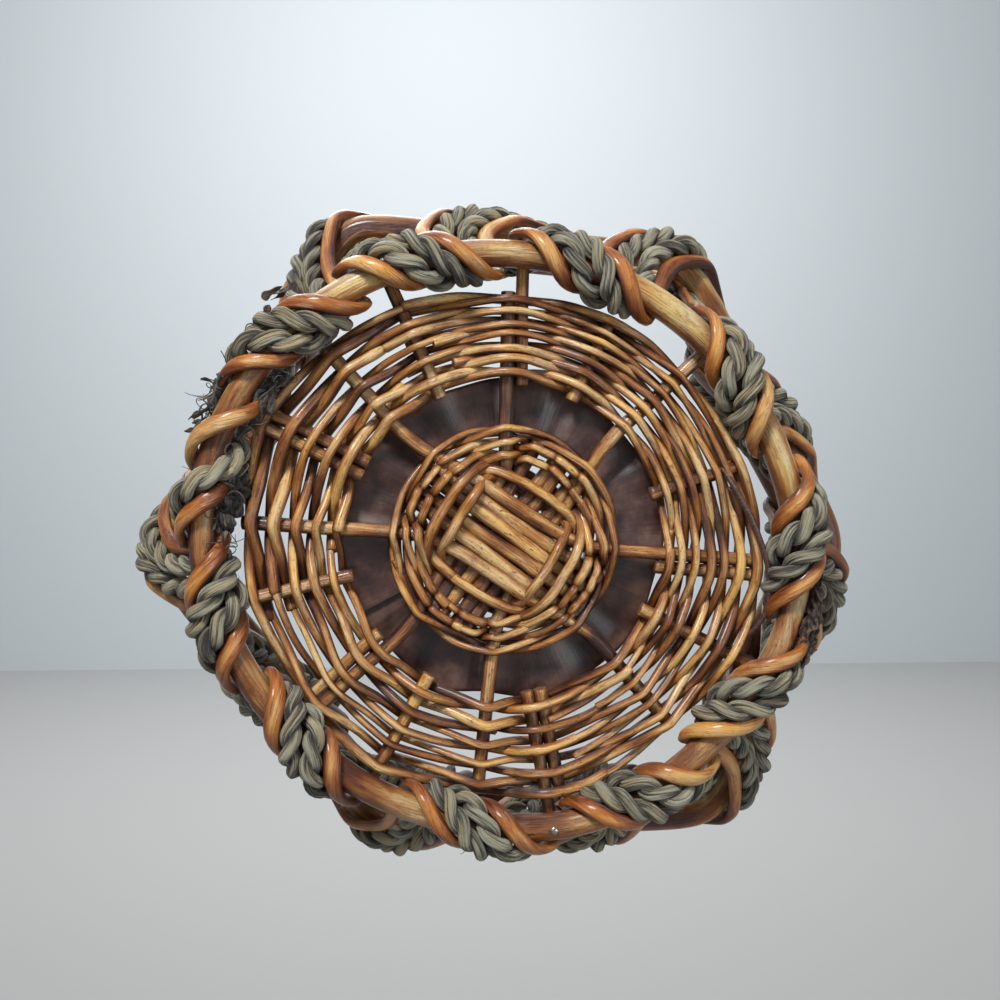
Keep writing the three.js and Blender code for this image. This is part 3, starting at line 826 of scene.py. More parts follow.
def finish_for(kind):
    """The material of one kind of surface. They are all made when the first is asked for."""
    if not MATERIALS:
        t = bpy.context.scene.basket_tints
        poles = (t.pole_dark, t.pole_mid, t.pole_light, t.pole_pale)
        rods = (t.rod_dark, t.rod_mid, t.rod_light, t.rod_pale)
        sticks = (t.stick_dark, t.stick_mid, t.stick_light, t.stick_pale)
        weavers = (t.weaver_dark, t.weaver_mid, t.weaver_light, t.weaver_pale)
        MATERIALS.update(
            pole=varnished_willow("varnished_pole", *poles, streak=0.55, speck=0.4, wear_and_shade_weight=0.5),
            rod=varnished_willow("varnished_rod", *rods, streak=0.7, speck=0.3, wear_and_shade_weight=0.7),
            stick=varnished_willow("stained_stick", *sticks, streak=0.9, speck=0.7, wear_and_shade_weight=0.6),
            weaver=varnished_willow("varnished_weaver", *weavers, streak=0.9, speck=0.6, wear_and_shade_weight=0.62),
            rope=seagrass("dry_seagrass", t.rope_dark, t.rope_mid, t.rope_light),
            fibre=seagrass("dark_fibre", t.fibre_dark, t.fibre_mid, t.fibre_light),
            bast=seagrass("torn_bast", t.bast_dark, t.bast_mid, t.bast_light),
            bark=bark("dyed_bark", t.bark_dark, t.bark_mid, t.bark_light),
            nail=steel("nail_steel", t.nail),
        )
    return MATERIALS[kind]


# Sizes and colours that a user would change.
def length_property(name, description, default):
    return FloatProperty(
        name=name, description=description, default=default, min=0.0, unit="LENGTH", subtype="DISTANCE"
    )


def colour_property(name, description, default):
    return FloatVectorProperty(
        name=name, description=description, default=default, size=3, min=0, max=1, subtype="COLOR"
    )


def count_property(name, description, default, lowest, highest):
    return IntProperty(name=name, description=description, default=default, min=lowest, max=highest)


class BasketSizes(bpy.types.PropertyGroup):
    rope_diameter: length_property("Rope", "Diameter of the seagrass ropes", 0.0091)
    rope_lay: length_property("Rope lay", "Length of rope in which a strand goes round once", 0.0215)
    rod_width: length_property("Rod width", "Width of the rods beside the ropes", 0.0072)
    rod_thickness: length_property("Rod thickness", "Thickness of the rods beside the ropes", 0.0047)
    pole_diameter: length_property("Pole", "Diameter of the hoops' poles", 0.0116)
    stick_diameter: length_property("Stick", "Diameter of the base sticks", 0.0061)
    weaver_butt: length_property("Weaver butt", "Diameter of a weaver at its thick end", 0.0046)
    weaver_tip: length_property("Weaver tip", "Diameter of a weaver at its thin end", 0.0032)
    bark_ruffle: length_property("Bark ruffle", "How far the bark band's folds rise", 0.0036)
    added_pairs: count_property("Added pairs", "Pairs of short rows on the crowded side", 2, 0, 3)
    rosette_pairs: count_property("Rosette pairs", "Twisted pairs of weavers round the middle", 3, 2, 4)
    stray_fibres: count_property("Stray fibres", "Loose fibres on the ropes", 70, 0, 600)
    seed: count_property("Seed", "Seed of the small differences between rods", 7, 0, 9999)


class BasketTints(bpy.types.PropertyGroup):
    # The willow's dark and light colours are reached partly through painted shade on sides and deeper parts
    # and a painted highlight on crests, besides stain and wear.
    pole_dark: colour_property("Pole dark", "Stain in the poles' hollows", (0.07, 0.02, 0.009))
    pole_mid: colour_property("Pole", "Colour of most of the poles", (0.21, 0.068, 0.013))
    pole_light: colour_property("Pole light", "Rubbed places on the poles", (0.39, 0.215, 0.08))
    pole_pale: colour_property("Pole pale", "Palest streaks on the poles", (0.6, 0.48, 0.27))
    rod_dark: colour_property("Rod dark", "Stain in the rods' hollows", (0.055, 0.014, 0.006))
    rod_mid: colour_property("Rod", "Colour of most of the rods", (0.218, 0.06, 0.014))
    rod_light: colour_property("Rod light", "Rubbed places on the rods", (0.42, 0.155, 0.036))
    rod_pale: colour_property("Rod pale", "Palest streaks on the rods", (0.6, 0.35, 0.125))
    stick_dark: colour_property("Stick dark", "Stain in the sticks' hollows", (0.036, 0.012, 0.006))
    stick_mid: colour_property("Stick", "Colour of most of the sticks", (0.166, 0.056, 0.023))
    stick_light: colour_property("Stick light", "Rubbed places on the sticks", (0.37, 0.177, 0.064))
    stick_pale: colour_property("Stick pale", "Palest streaks on the sticks", (0.66, 0.45, 0.22))
    weaver_dark: colour_property("Weaver dark", "Stain in the weavers' hollows", (0.042, 0.013, 0.006))
    weaver_mid: colour_property("Weaver", "Colour of most of the weavers", (0.18, 0.058, 0.016))
    weaver_light: colour_property("Weaver light", "Rubbed places on the weavers", (0.395, 0.178, 0.052))
    weaver_pale: colour_property("Weaver pale", "Palest streaks on the weavers", (0.65, 0.44, 0.2))
    # The rope's dark and light colours are reached partly through painted shade where its strands meet and a
    # painted highlight on their outer sides.
    rope_dark: colour_property("Rope dark", "Between the rope's blades of grass", (0.018, 0.014, 0.01))
    rope_mid: colour_property("Rope", "Colour of most of the rope", (0.165, 0.146, 0.1))
    rope_light: colour_property("Rope light", "Palest blades of grass", (0.49, 0.475, 0.345))
    fibre_dark: colour_property("Fibre dark", "Darkest broken fibres", (0.018, 0.015, 0.013))
    fibre_mid: colour_property("Fibre", "Colour of most broken fibres", (0.075, 0.066, 0.058))
    fibre_light: colour_property("Fibre light", "Palest broken fibres", (0.25, 0.23, 0.19))
    bast_dark: colour_property("Bast dark", "Hollows of the torn bast", (0.02, 0.009, 0.005))
    bast_mid: colour_property("Bast", "Colour of most of the torn bast", (0.095, 0.044, 0.024))
    bast_light: colour_property("Bast light", "Palest edges of the torn bast", (0.24, 0.145, 0.085))
    bark_dark: colour_property("Bark dark", "Hollows of the bark band", (0.018, 0.009, 0.009))
    bark_mid: colour_property("Bark", "Colour of most of the bark band", (0.07, 0.031, 0.026))
    bark_light: colour_property("Bark light", "Rubbed places on the bark band", (0.155, 0.084, 0.06))
    nail: colour_property("Nail", "Colour of the nail", (0.62, 0.6, 0.56))
    floor: colour_property("Floor", "Colour of the floor", (0.6, 0.6, 0.59))
    wall: colour_property("Wall", "Colour of the backdrop", (0.7, 0.75, 0.78))


def sizes():
    return bpy.context.scene.basket_sizes


def millimetres(length):
    return length / METRES


def dice(number):
    """Random numbers of one piece's own, the same at each run."""
    return np.random.default_rng([sizes().seed, number])


# Poles.
def bud_lumps(rng, length, buds, size):
    """Slow swellings, with a ring and a scar at each old bud."""
    swell = wander(rng, length, 45, 0.035)
    places = np.sort(rng.uniform(0, length, buds))
    sides = rng.uniform(0, 2 * np.pi, buds)

    def lumps(s, turn):
        radius = 1 + swell(s)
        for place, side in zip(places, sides):
            ring = np.exp(-(((s - place) / 4.0) ** 2))
            beside = np.angle(np.exp(1j * (turn - side)))
            scar = np.exp(-(((s - place - 1.5) / 2.0) ** 2)) * np.exp(-((beside / 0.6) ** 2))
            radius = radius + size * ring - size * 1.8 * scar
        return radius

    return lumps


def hoop_path(outline, height, joint, rng):
    """A pole bent round until its tapered ends lie side by side."""
    angles = np.arange(joint - LAP_DEGREES / 2, joint + 360 + LAP_DEGREES / 2 + 0.1, 1.0)
    sag = wander(rng, ROUND, 70, 0.9)
    path = np.array([polar(outline.radius(a), a, height + float(sag(a - angles[0]))) for a in angles])
    side = POLE_RADIUS * LAP_ASIDE
    into = smoothstep(1 - (angles - angles[0]) / LAP_DEGREES) * side
    out = smoothstep(1 - (angles[-1] - angles) / LAP_DEGREES) * side
    radial = unit(path * np.array([1, 1, 0]))
    return path + radial * (out - into)[:, None]


# How pale each pole is, by the angle round the basket.
FOOT_TONES = (
    (0, 0.3),
    (20, 0.35),
    (45, 0.55),
    (90, 0.64),
    (150, 0.58),
    (180, 0.55),
    (195, 0.55),
    (225, 0.45),
    (265, 0.25),
    (300, 0.35),
    (335, 0.25),
    (360, 0.3),
)
MID_TONES = ((0, 0.75), (360, 0.75))
RIM_TONES = ((0, 0.7), (360, 0.7))
# How much darker a pole is painted beside a crossing's ropes, as painted shade where they wrap it,
# and within how many degrees.
CROSSING_SHADE_DEPTH, CROSSING_SHADE_DEGREES = 0.3, 9.5


def build_pole(name, node, outline, height, joint, number, tones):
    rng = dice(number)
    path = smooth_path(hoop_path(outline, height, joint, rng), POLE_STEP)
    s = along(path)
    radius = millimetres(sizes().pole_diameter) / 2
    lap_length = math.radians(LAP_DEGREES) * outline.radius(joint)
    from_end = np.minimum(s, s[-1] - s)
    taper = LAP_THIN + (1 - LAP_THIN) * smoothstep(from_end / lap_length)
    angles = angles_of(path)
    tone = listed(tones, angles) + wavering(rng, s, 40, 0.25)
    # Painted shade: the pole is darker beside each crossing's ropes, where they wrap it.
    for crossing in CROSSINGS:
        tone = tone - CROSSING_SHADE_DEPTH * np.exp(-((turn_from(crossing, angles) / CROSSING_SHADE_DEGREES) ** 2))
    tone = tone - 0.25 * smoothstep(1 - from_end / (lap_length * 0.8))
    lumps = bud_lumps(rng, s[-1], buds=11, size=0.05)
    radius = radius * taper
    piece = Piece()
    piece.tube(path, radius, 24, tone=tone, lumps=lumps, wear_and_shade_from="outside", offset=number * ROD_GRAIN)
    piece.make(name, finish_for("pole"), "hoop_pole", (node,))


class BASKET_OT_poles(bpy.types.Operator):
    """Bend the three poles of the foot, the middle and the rim"""

    bl_idname = "basket.poles"
    bl_label = "Poles"

    def execute(self, context):
        build_pole("foot_pole", "foot_hoop", FOOT, FOOT_HEIGHT, FOOT_JOINT, FOOT_DICE, FOOT_TONES)
        build_pole("middle_pole", "middle_hoop", MID, MID_HEIGHT, MID_JOINT, MID_DICE, MID_TONES)
        build_pole("rim_pole", "rim_hoop", RIM, RIM_HEIGHT, RIM_JOINT, RIM_DICE, RIM_TONES)
        return {"FINISHED"}


# Rods of the lacing.
class BASKET_OT_lacing_rods(bpy.types.Operator):
    """Wind the two willow rods that edge the ribbon of rope"""

    bl_idname = "basket.lacing_rods"
    bl_label = "Lacing rods"

    def execute(self, context):
        width = millimetres(sizes().rod_width)
        thickness = millimetres(sizes().rod_thickness)
        for place, side, number in zip(("leading", "trailing"), (1, -1), ROD_DICE):
            rng = dice(number)
            path, faced = strand(ROD_REACH, side * ROD_SIDEWAYS, 0, ROD_STEP, (1.0, 1.02, 1.04))
            s = along(path)
            swell = 1 + wavering(rng, s, 55, 0.09)
            piece = Piece()
            piece.tube(
                path,
                width / 2 * swell,
                14,
                frames=facing_frames(path, faced),
                flat=thickness / width,
                tone=0.5 + wavering(rng, s, 90, 0.3),
                lumps=bud_lumps(rng, s[-1], buds=22, size=0.035),
                wear_and_shade_from="outside",
                offset=number * ROD_GRAIN,
            )
            piece.make(f"red_rod_{place}", finish_for("rod"), "lacing_rod", (f"lacing_rod_{place}",))
        return {"FINISHED"}


# Ropes.
STRANDS = 2
# A strand's radius over the rope's, and how much the strands are pressed into each other.
STRAND_SHARE = 0.56
STRAND_PRESS = 1.08


def lay_rope(piece, middle, radius, lay, hand, rng, number, frayed):
    """Strands twisted round a middle line. Over the frayed length at its ends they thin and come apart."""
    n, b = carried_frames(middle)
    s = along(middle)
    strand_radius = radius * STRAND_SHARE
    apart = radius - strand_radius
    near_ends = [smoothstep(1 - from_end / frayed) for from_end in (s, s[-1] - s)] if frayed else []
    loose = np.ones(len(s))
    for near in near_ends:
        loose = loose + 0.5 * near
    twist = hand * 2 * np.pi * s / lay + wavering(rng, s, 60, 0.35)
    for k in range(STRANDS):
        phase = twist + 2 * np.pi * k / STRANDS
        reach = apart * loose * (1 + wavering(rng, s, 9, 0.07))
        centre = middle + (np.cos(phase) * reach)[:, None] * n + (np.sin(phase) * reach)[:, None] * b
        swell = strand_radius * STRAND_PRESS * (1 + wavering(rng, s, 7, 0.08))
        for near in near_ends:
            swell = swell * (1 - 0.75 * near)
        ridges = rng.uniform(0, 2 * np.pi)

        def lumps(at, turn, ridges=ridges):
            fine = 0.03 * np.cos(6 * turn + at * 0.3 * hand + ridges)
            return 1 + fine + 0.035 * np.cos(3 * turn - at * 0.17 + ridges)

        tone = 0.5 + wavering(rng, s, 30, 0.28)
        # Each strand is painted lighter on its outside and darker where it lies against the other strand, as
        # painted shade in the rope's crevices.
        lit_crowns = unit(centre - middle)
        piece.tube(centre, swell, 18, tone=tone, lumps=lumps, lit_crowns=lit_crowns, offset=(number + k) * ROPE_GRAIN)


def rope_middle(side):
    """The middle line of the leading rope (1), which is broken, or of the trailing one (-1)."""
    return strand(ROPE_REACH, side * ROPE_SIDEWAYS, BROKEN_OFF if side > 0 else 0, ROPE_STEP)[0]


class BASKET_OT_ropes(bpy.types.Operator):
    """Lay the two seagrass ropes, twisted opposite ways"""

    bl_idname = "basket.ropes"
    bl_label = "Ropes"

    def execute(self, context):
        radius = millimetres(sizes().rope_diameter) / 2
        lay = millimetres(sizes().rope_lay)
        for place, side, number in zip(("leading", "trailing"), (1, -1), ROPE_DICE):
            frayed = FRAYED_LENGTH if side > 0 else 0.0
            piece = Piece()
            lay_rope(piece, rope_middle(side), radius, lay, side, dice(number), number, frayed)
            replaced = (f"seagrass_rope_{place}",)
            piece.make(f"grass_rope_{place}", finish_for("rope"), "seagrass_rope", replaced)
        return {"FINISHED"}


# Base sticks.
def beside_radial(angle, across, radius, z):
    return polar(radius, angle, z) + polar(across, angle + 90, 0)


def layer_direction(layer):
    """The way the sticks of one layer of the slath lie."""
    return SLATH_DEGREES + (90 if layer > 0 else 0)


def spoke_angle(layer, angle, radius):
    """Where a spoke is at a radius: beside the short sticks in the middle, and at its own angle outside."""
    direction = layer_direction(layer)
    if turn_between(angle, direction) > 90:
        direction += 180
    lean = turn_from(direction, angle)
    beside = math.degrees(math.asin(min(1, LONG_OFFSET / radius)))
    return direction + math.copysign(max(abs(lean), beside), lean)


def spoke_level(layer, radius):
    """The height of a layer's sticks: the layers lie one on the other in the middle and are level outside."""
    share = (LAYERS_MEET - radius) / (LAYERS_MEET - LAYER_FLAT)
    return STICK_LEVEL + layer * LAYER_STEP * min(1, max(0, share))


# A spoke is blackened between the rosette and the band: its radius, angle and height there.
BLACKENED_SPOKE = "long_stick_lower_4"
BLACKENED_PLACE = (62, 227, STICK_LEVEL)
BLACKENED_LENGTH = 9
# Where the sticks cross in the middle they are golden with wear, out to these distances.
GOLDEN_RADII = (25, 45)


def stick(name, node, points, number, butt, tip, bow, tone):
    """A straight-grained stick, bowed a little. butt and tip are its ends' thickness over the usual one."""
    rng = dice(number)
    path = smooth_path(points, STICK_STEP)
    s = along(path)
    n, b = carried_frames(path)
    held = np.sin(np.pi * s / s[-1]) ** 0.5
    aside = wavering(rng, s, 28, bow) * held
    up = wavering(rng, s, 28, bow * 0.5) * held
    path = path + aside[:, None] * n + up[:, None] * b
    radius = millimetres(sizes().stick_diameter) / 2 * np.interp(s / s[-1], [0, 1], [butt, tip])
    golden = 0.15 * (1 - rise(distances_of(path), *GOLDEN_RADII))
    shade = np.clip(tone + rng.uniform(-0.12, 0.12) + wavering(rng, s, 40, 0.15) + golden, 0, 1)
    if node == BLACKENED_SPOKE:
        away = np.linalg.norm(path - polar(*BLACKENED_PLACE), axis=1)
        shade = shade - 1.1 * np.exp(-((away / BLACKENED_LENGTH) ** 2))
    lumps = bud_lumps(rng, s[-1], max(1, int(s[-1] / STICK_BUD_STEP)), 0.08)
    piece = Piece()
    piece.tube(path, radius, 16, tone=shade, lumps=lumps, wear_and_shade_from="below", offset=number * ROD_GRAIN)
    piece.make(name, finish_for("stick"), "base_stick", (node,))


def stick_tip(node, angle, across=0.0):
    """How far out the solid stick of that node goes at an angle, from its mesh."""
    direction = polar(1, angle, 0)
    side = polar(1, angle + 90, 0)
    best = 0.0
    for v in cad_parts[node].data.vertices:
        p = np.array(v.co) / METRES
        if abs(p @ side - across) < STICK_RADIUS + 1.5 and p @ direction > 0:
            best = max(best, float(p @ direction))
    return best


def long_stick(layer, start, end, number):
    """A stick that goes through the slath and runs on as two spokes."""
    name = f"{LAYER_NAMES[layer]}_{start}"
    node = f"long_stick_{name}"
    direction = layer_direction(layer)
    arms = []
    for angle in (start, end):
        apart = min(turn_between(angle, direction), turn_between(angle, direction + 180))
        join = max(LONG_OFFSET / math.sin(math.radians(apart)), LAYERS_MEET + 0.3)
        tip = stick_tip(node, angle)
        places = (LAYER_FLAT, join, (join + tip) / 2, tip)
        arms.append([polar(r, spoke_angle(layer, angle, r), spoke_level(layer, r)) for r in places])
    points = [*arms[0][::-1], *arms[1]]
    stick(f"spoke_stick_{name}", node, points, number, butt=1.03, tip=0.97, bow=0.35, tone=0.38)


def short_stick(layer, i, number):
    """A stick of the slath that ends between the rosette's rows."""
    name = f"{LAYER_NAMES[layer]}_{i + 1}"
    across = (i - 1.5) * STICK_PITCH + float(dice(number).uniform(-0.5, 0.5))
    direction = layer_direction(layer) + float(dice(number).uniform(0, 5))
    places = (-SHORT_REACH, -LAYER_FLAT, 0, LAYER_FLAT, SHORT_REACH)
    points = [beside_radial(direction, across, r, spoke_level(layer, abs(r))) for r in places]
    node = f"short_stick_{name}"
    tone = 0.38 if layer < 0 else 0.3
    stick(f"slath_stick_{name}", node, points, number, butt=1.12, tip=1.05, bow=1.2, tone=tone)


def stake(i, angle, across, number):
    """A stick of the outer band, which begins on the bark band."""
    node = f"stake_{i + 1}"
    tip = stick_tip(node, angle, across)
    places = (STAKE_INNER, (STAKE_INNER + tip) / 2, tip)
    points = [beside_radial(angle, across, r, STICK_LEVEL) for r in places]
    stick(f"peeled_stake_{i + 1}", node, points, number, butt=1.0, tip=0.92, bow=0.4, tone=0.4)


class BASKET_OT_base_sticks(bpy.types.Operator):
    """Lay the sticks of the base: two layers in the middle, eight spokes and the stakes between them"""

    bl_idname = "basket.base_sticks"
    bl_label = "Base sticks"

    def execute(self, context):
        for i, (layer, start, end) in enumerate(LONG_STICKS):
            long_stick(layer, start, end, LONG_DICE + i)
        for i in range(4):
            short_stick(-1, i, SHORT_DICE + i)
        for i in range(4):
            short_stick(1, i, SHORT_DICE + 4 + i)
        stakes = [(angle, across) for angle in STAKE_DEGREES for across in sticks_at(angle)]
        stakes += [(angle, STICK_PITCH) for angle in PAIRED_SPOKES]
        for i, (angle, across) in enumerate(stakes):
            stake(i, angle, across, STAKE_DICE + i)
        return {"FINISHED"}


# Weaving.
def sticks_at(angle):
    """How far beside a radial line the stick or the two sticks at an angle lie."""
    if angle in PAIRED_STAKES:
        return (-STICK_PITCH / 2, STICK_PITCH / 2)
    return (0.0, STICK_PITCH) if angle in PAIRED_SPOKES else (0.0,)


# Between sticks that are further round from each other than this, a weaver is bent.
OPEN_DEGREES = 9


def woven_line(radius_at, meetings, start, end, rng, stray, step, bend_at, pinch=0.0, twist=0.0, wave=30.0):
    """A weaver's middle line from one angle to another. It passes the sticks on one side and then on the
    other. bend_at says how round it runs between them: 0 is straight. pinch moves it out at the sticks, and
    twist moves it out between them where it goes from the front to the back, and in where it comes back."""
    rings = []
    middle = radius_at((start + end) / 2)
    for turn in range(int(start // 360) - 1, int(end // 360) + 2):
        for first, last, z in meetings(middle):
            rings += [(first + 360 * turn, z), (last + 360 * turn, z)]
    rings.sort()
    at_ends = [(a, float(listed(rings, a))) for a in (start, end)]
    met = [at_ends[0], *[(a, z) for a, z in rings if start < a < end], at_ends[1]]
    marks = [(a, z, 1.0, pinch) for a, z in met]
    for (a, z), (b, y) in zip(met, met[1:]):
        if b - a > OPEN_DEGREES:
            chord = math.cos(math.radians((b - a) / 2))
            bent = bend_at(0.5 * (a + b)) * rng.uniform(0.5, 1.5)
            share = chord + (1 - chord) * min(1.0, bent)
            marks.append((0.5 * (a + b), 0.5 * (z + y), share, twist * math.tanh(y - z)))
    marks.sort()
    drift = wander(rng, math.radians(end - start) * middle, wave, stray)
    points = []
    for a, z, share, shift in marks:
        across = radius_at(a) * share + shift + float(drift(math.radians(a - start) * middle))
        points.append(polar(across, a, z + rng.uniform(-0.15, 0.15)))
    return smooth_path(points, step)


def crowded(angle):
    """How crowded the band is at an angle: the right and the top have more rows than the left."""
    angle = angle % 360
    return float(rise(angle, 40, 90) * (1 - rise(angle, 225, 275)))


def thinning(line):
    """Weavers are thinner where the band is crowded."""
    in_band = rise(distances_of(line), 55, 65)
    return 1 + (0.11 - 0.12 * np.array([crowded(a) for a in angles_of(line)])) * in_band


def weaver(piece, line, butt, tip, tone, rng, number, sides=11):
    """A tapered weaver along a line."""
    s = along(line)
    radius = np.interp(s / s[-1], [0, 0.12, 0.8, 1], [butt, butt * 0.98, (butt + tip) / 2.1, tip]) / 2
    radius = radius * thinning(line)
    tone = np.clip(tone + wavering(rng, s, 50, 0.12), 0, 1)
    lumps = bud_lumps(rng, s[-1], max(1, int(s[-1] / WEAVER_BUD_STEP)), 0.07)
    piece.tube(line, radius, sides, tone=tone, lumps=lumps, wear_and_shade_from="below", offset=number * WEAVER_GRAIN)


def passed(stick_index, row, thickness):
    """How far above or below a stick a row passes it. The rows and the sticks take turns."""
    side = 1 if (stick_index + row) % 2 else -1
    return side * (STICK_RADIUS + thickness / 2 + 0.1)


def band_meetings(row, thickness):
    """Where a row of the band meets the sticks: from and to what angle, and at what height."""
    spokes = [angle for _, start, end in LONG_STICKS for angle in (start, end)]
    angles = sorted([*spokes, *STAKE_DEGREES])
    margin = STICK_RADIUS * 0.35

    def at(radius):
        found = []
        for i, angle in enumerate(angles):
            across = sticks_at(angle)
            first = angle + math.degrees((across[0] - margin) / radius)
            last = angle + math.degrees((across[-1] + margin) / radius)
            found.append((first, last, STICK_LEVEL + passed(i, row, thickness)))
        return found

    return at


def rosette_meetings(row, thickness):
    """Where a row of the rosette meets the spokes, and the short sticks in twos where they reach it."""
    spokes = [(angle, layer) for layer, start, end in LONG_STICKS for angle in (start, end)]
    margin = STICK_RADIUS * 0.4

    def at(radius):
        wide = math.degrees(margin / radius)
        groups = []
        for angle, layer in spokes:
            here = spoke_angle(layer, angle, radius)
            groups.append((here - wide, here + wide, layer))
        if radius < SHORT_REACH - 1:
            for quarter in range(4):
                quarter_start = SLATH_DEGREES + 90 * quarter
                for side in (-1, 1):
                    edges = (STICK_PITCH * 0.5 - margin, STICK_PITCH * 1.5 + margin)
                    across = sorted(side * edge for edge in edges)
                    first, last = (quarter_start + math.degrees(math.asin(a / radius)) for a in across)
                    groups.append((first, last, 1 if quarter % 2 else -1))
        groups = sorted((first % 360, last - first, layer) for first, last, layer in groups)
        return [
            (first, first + width, spoke_level(layer, radius) + passed(i, row, thickness))
            for i, (first, width, layer) in enumerate(groups)
        ]

    return at


def band_bend(angle):
    """How round the band's weavers run between the sticks."""
    return 0.25 + 0.6 * crowded(angle)


# How far the band's last rows lie outside an even circle, by the angle.
BAND_OUT = (
    (0, 0.5),
    (22, 4.0),
    (45, 3.0),
    (70, 2.0),
    (90, 1.0),
    (120, 1.5),
    (150, 2.5),
    (185, 2.5),
    (205, 3.5),
    (230, 4.0),
    (250, 5.0),
    (272, 5.5),
    (285, 7.5),
    (299, 9.5),
    (310, 7.5),
    (330, 5.0),
    (345, 2.5),
    (360, 0.5),
)


def band_radius(open_share, crowded_share):
    """The radius of a row by its angle, from its share of the band's width where that is open and crowded."""

    def at(angle):
        c = crowded(angle)
        share = open_share * (1 - c) + crowded_share * c
        return BAND_FIRST + (BAND_LAST - BAND_FIRST) * share + float(listed(BAND_OUT, angle % 360)) * share**2

    return at


# A blackened weaver that has slipped out of the rows: its angle, radius and height.
BLACKENED_ROUTE = (
    (162, 100.0, 17.5),
    (167, 101.5, 14.5),
    (173, 104.0, 12.6),
    (180, 107.5, 12.2),
    (186, 110.8, 12.4),
    (191, 112.8, 13.0),
    (196, 113.6, 14.6),
    (200, 112.4, 17.6),
    (203, 110.0, 20.5),
)
BLACKENED_BUTT, BLACKENED_TIP = 3.0, 2.0
# How far round one weaver of a full row goes, and how far before the other one's end it begins.
WEAVER_DEGREES = 191
JOIN_DEGREES = 7


class BASKET_OT_band(bpy.types.Operator):
    """Weave the outer band from weavers that taper and are joined on, with more rows on one side"""

    bl_idname = "basket.band"
    bl_label = "Outer band"

    def execute(self, context):
        butt, tip = millimetres(sizes().weaver_butt), millimetres(sizes().weaver_tip)
        added = sizes().added_pairs
        total = BAND_ROWS + 2 * added
        # Short rows come in by twos after every few full rows, so that all still pass the sticks in turn.
        group = BAND_ROWS // (added + 1)
        layout = [row + 2 * min(added, row // group) for row in range(BAND_ROWS)]
        for row, place in enumerate(layout):
            rng = dice(BAND_DICE + row)
            radius = band_radius(row / (BAND_ROWS - 1), place / (total - 1))
            meetings = band_meetings(row, (butt + tip) / 2)
            pinch = -0.8 if row % 2 else 0.8
            piece = Piece()
            start = rng.uniform(0, 360)
            for k in range(2):
                begin = start + k * 180 - JOIN_DEGREES
                end = begin + WEAVER_DEGREES
                line = woven_line(radius, meetings, begin, end, rng, 0.8, WEAVER_STEP, band_bend, pinch)
                thick = rng.uniform(0.88, 1.04)
                tone = rng.uniform(0.3, 0.7)
                weaver(piece, line, butt * thick, tip * thick, tone, rng, BAND_DICE + 3 * row + k)
            replaced = (f"band_row_{row + 1}",)
            piece.make(f"band_weaver_{row + 1}", finish_for("weaver"), "band_weaver", replaced)
        piece = Piece()
        line = smooth_path([polar(radius, a, z) for a, radius, z in BLACKENED_ROUTE], WEAVER_STEP)
        weaver(piece, line, BLACKENED_BUTT, BLACKENED_TIP, 0.05, dice(BLACKENED_DICE), BLACKENED_DICE)
        piece.make("blackened_weaver", finish_for("bark"), "band_weaver")
        for i, place in enumerate(place for place in range(total) if place not in layout):
            rng = dice(ADDED_DICE + i)
            radius = band_radius((place + 0.5) / total, place / (total - 1))
            meetings = band_meetings(place, (butt + tip) / 2)
            begin, end = rng.uniform(55, 75), rng.uniform(235, 265)
            line = woven_line(radius, meetings, begin, end, rng, 0.6, WEAVER_STEP, band_bend)
            piece = Piece()
            weaver(piece, line, butt * 0.9, tip * 0.9, rng.uniform(0.25, 0.65), rng, ADDED_DICE + i)
            piece.make(f"short_band_weaver_{i + 1}", finish_for("weaver"), "band_weaver")
        return {"FINISHED"}


def binding_line(distance, corner, row, thickness):
    """One round of the slath's binding: over one layer's sticks and behind the other's."""
    places = []
    for step in range(-3, 16):
        quarter, part = divmod(step, 4)
        turn = SLATH_DEGREES + 90 * quarter + 22.5 * part
        layer = 1 if quarter % 2 else -1
        if part == 2:
            places.append(polar(corner, turn, STICK_LEVEL))
            continue
        if part == 3:
            layer = -layer
        side = -layer if row % 2 else layer
        level = STICK_LEVEL + layer * LAYER_STEP + side * (STICK_RADIUS + thickness / 2 + 0.15)
        places.append(polar(distance * (1 if part == 0 else 1.06), turn, level))
    return smooth_path(places, FINE_STEP)


# The bindings' distance from the middle on the sticks and at the corners, and their thickness.
TIE_FIRST, TIE_STEP = 21.4, 3.8
TIE_CORNER, TIE_CORNER_STEP = 27.6, 2.9
TIE_THICKNESS = 4.6
TIE_BUTT, TIE_TIP = 5.0, 4.4
# The rosette's weavers: how thick they are at the sticks, the first pair's butt, how much thinner each
# further pair is, their tip, and how far they run on before and past a whole turn.
FINE_THICKNESS = 3.5
FINE_BUTT, FINE_LESS, FINE_TIP = 4.5, 0.45, 3.1
FINE_BEFORE, FINE_PAST = 8, 6
# The slath's bindings, each with the solid that it replaces.
BINDINGS = (
    ("slath_tie_inner", ("slath_binding_inner",)),
    ("slath_tie_outer", ("slath_binding_outer",)),
    ("slath_tie_third", ()),
)


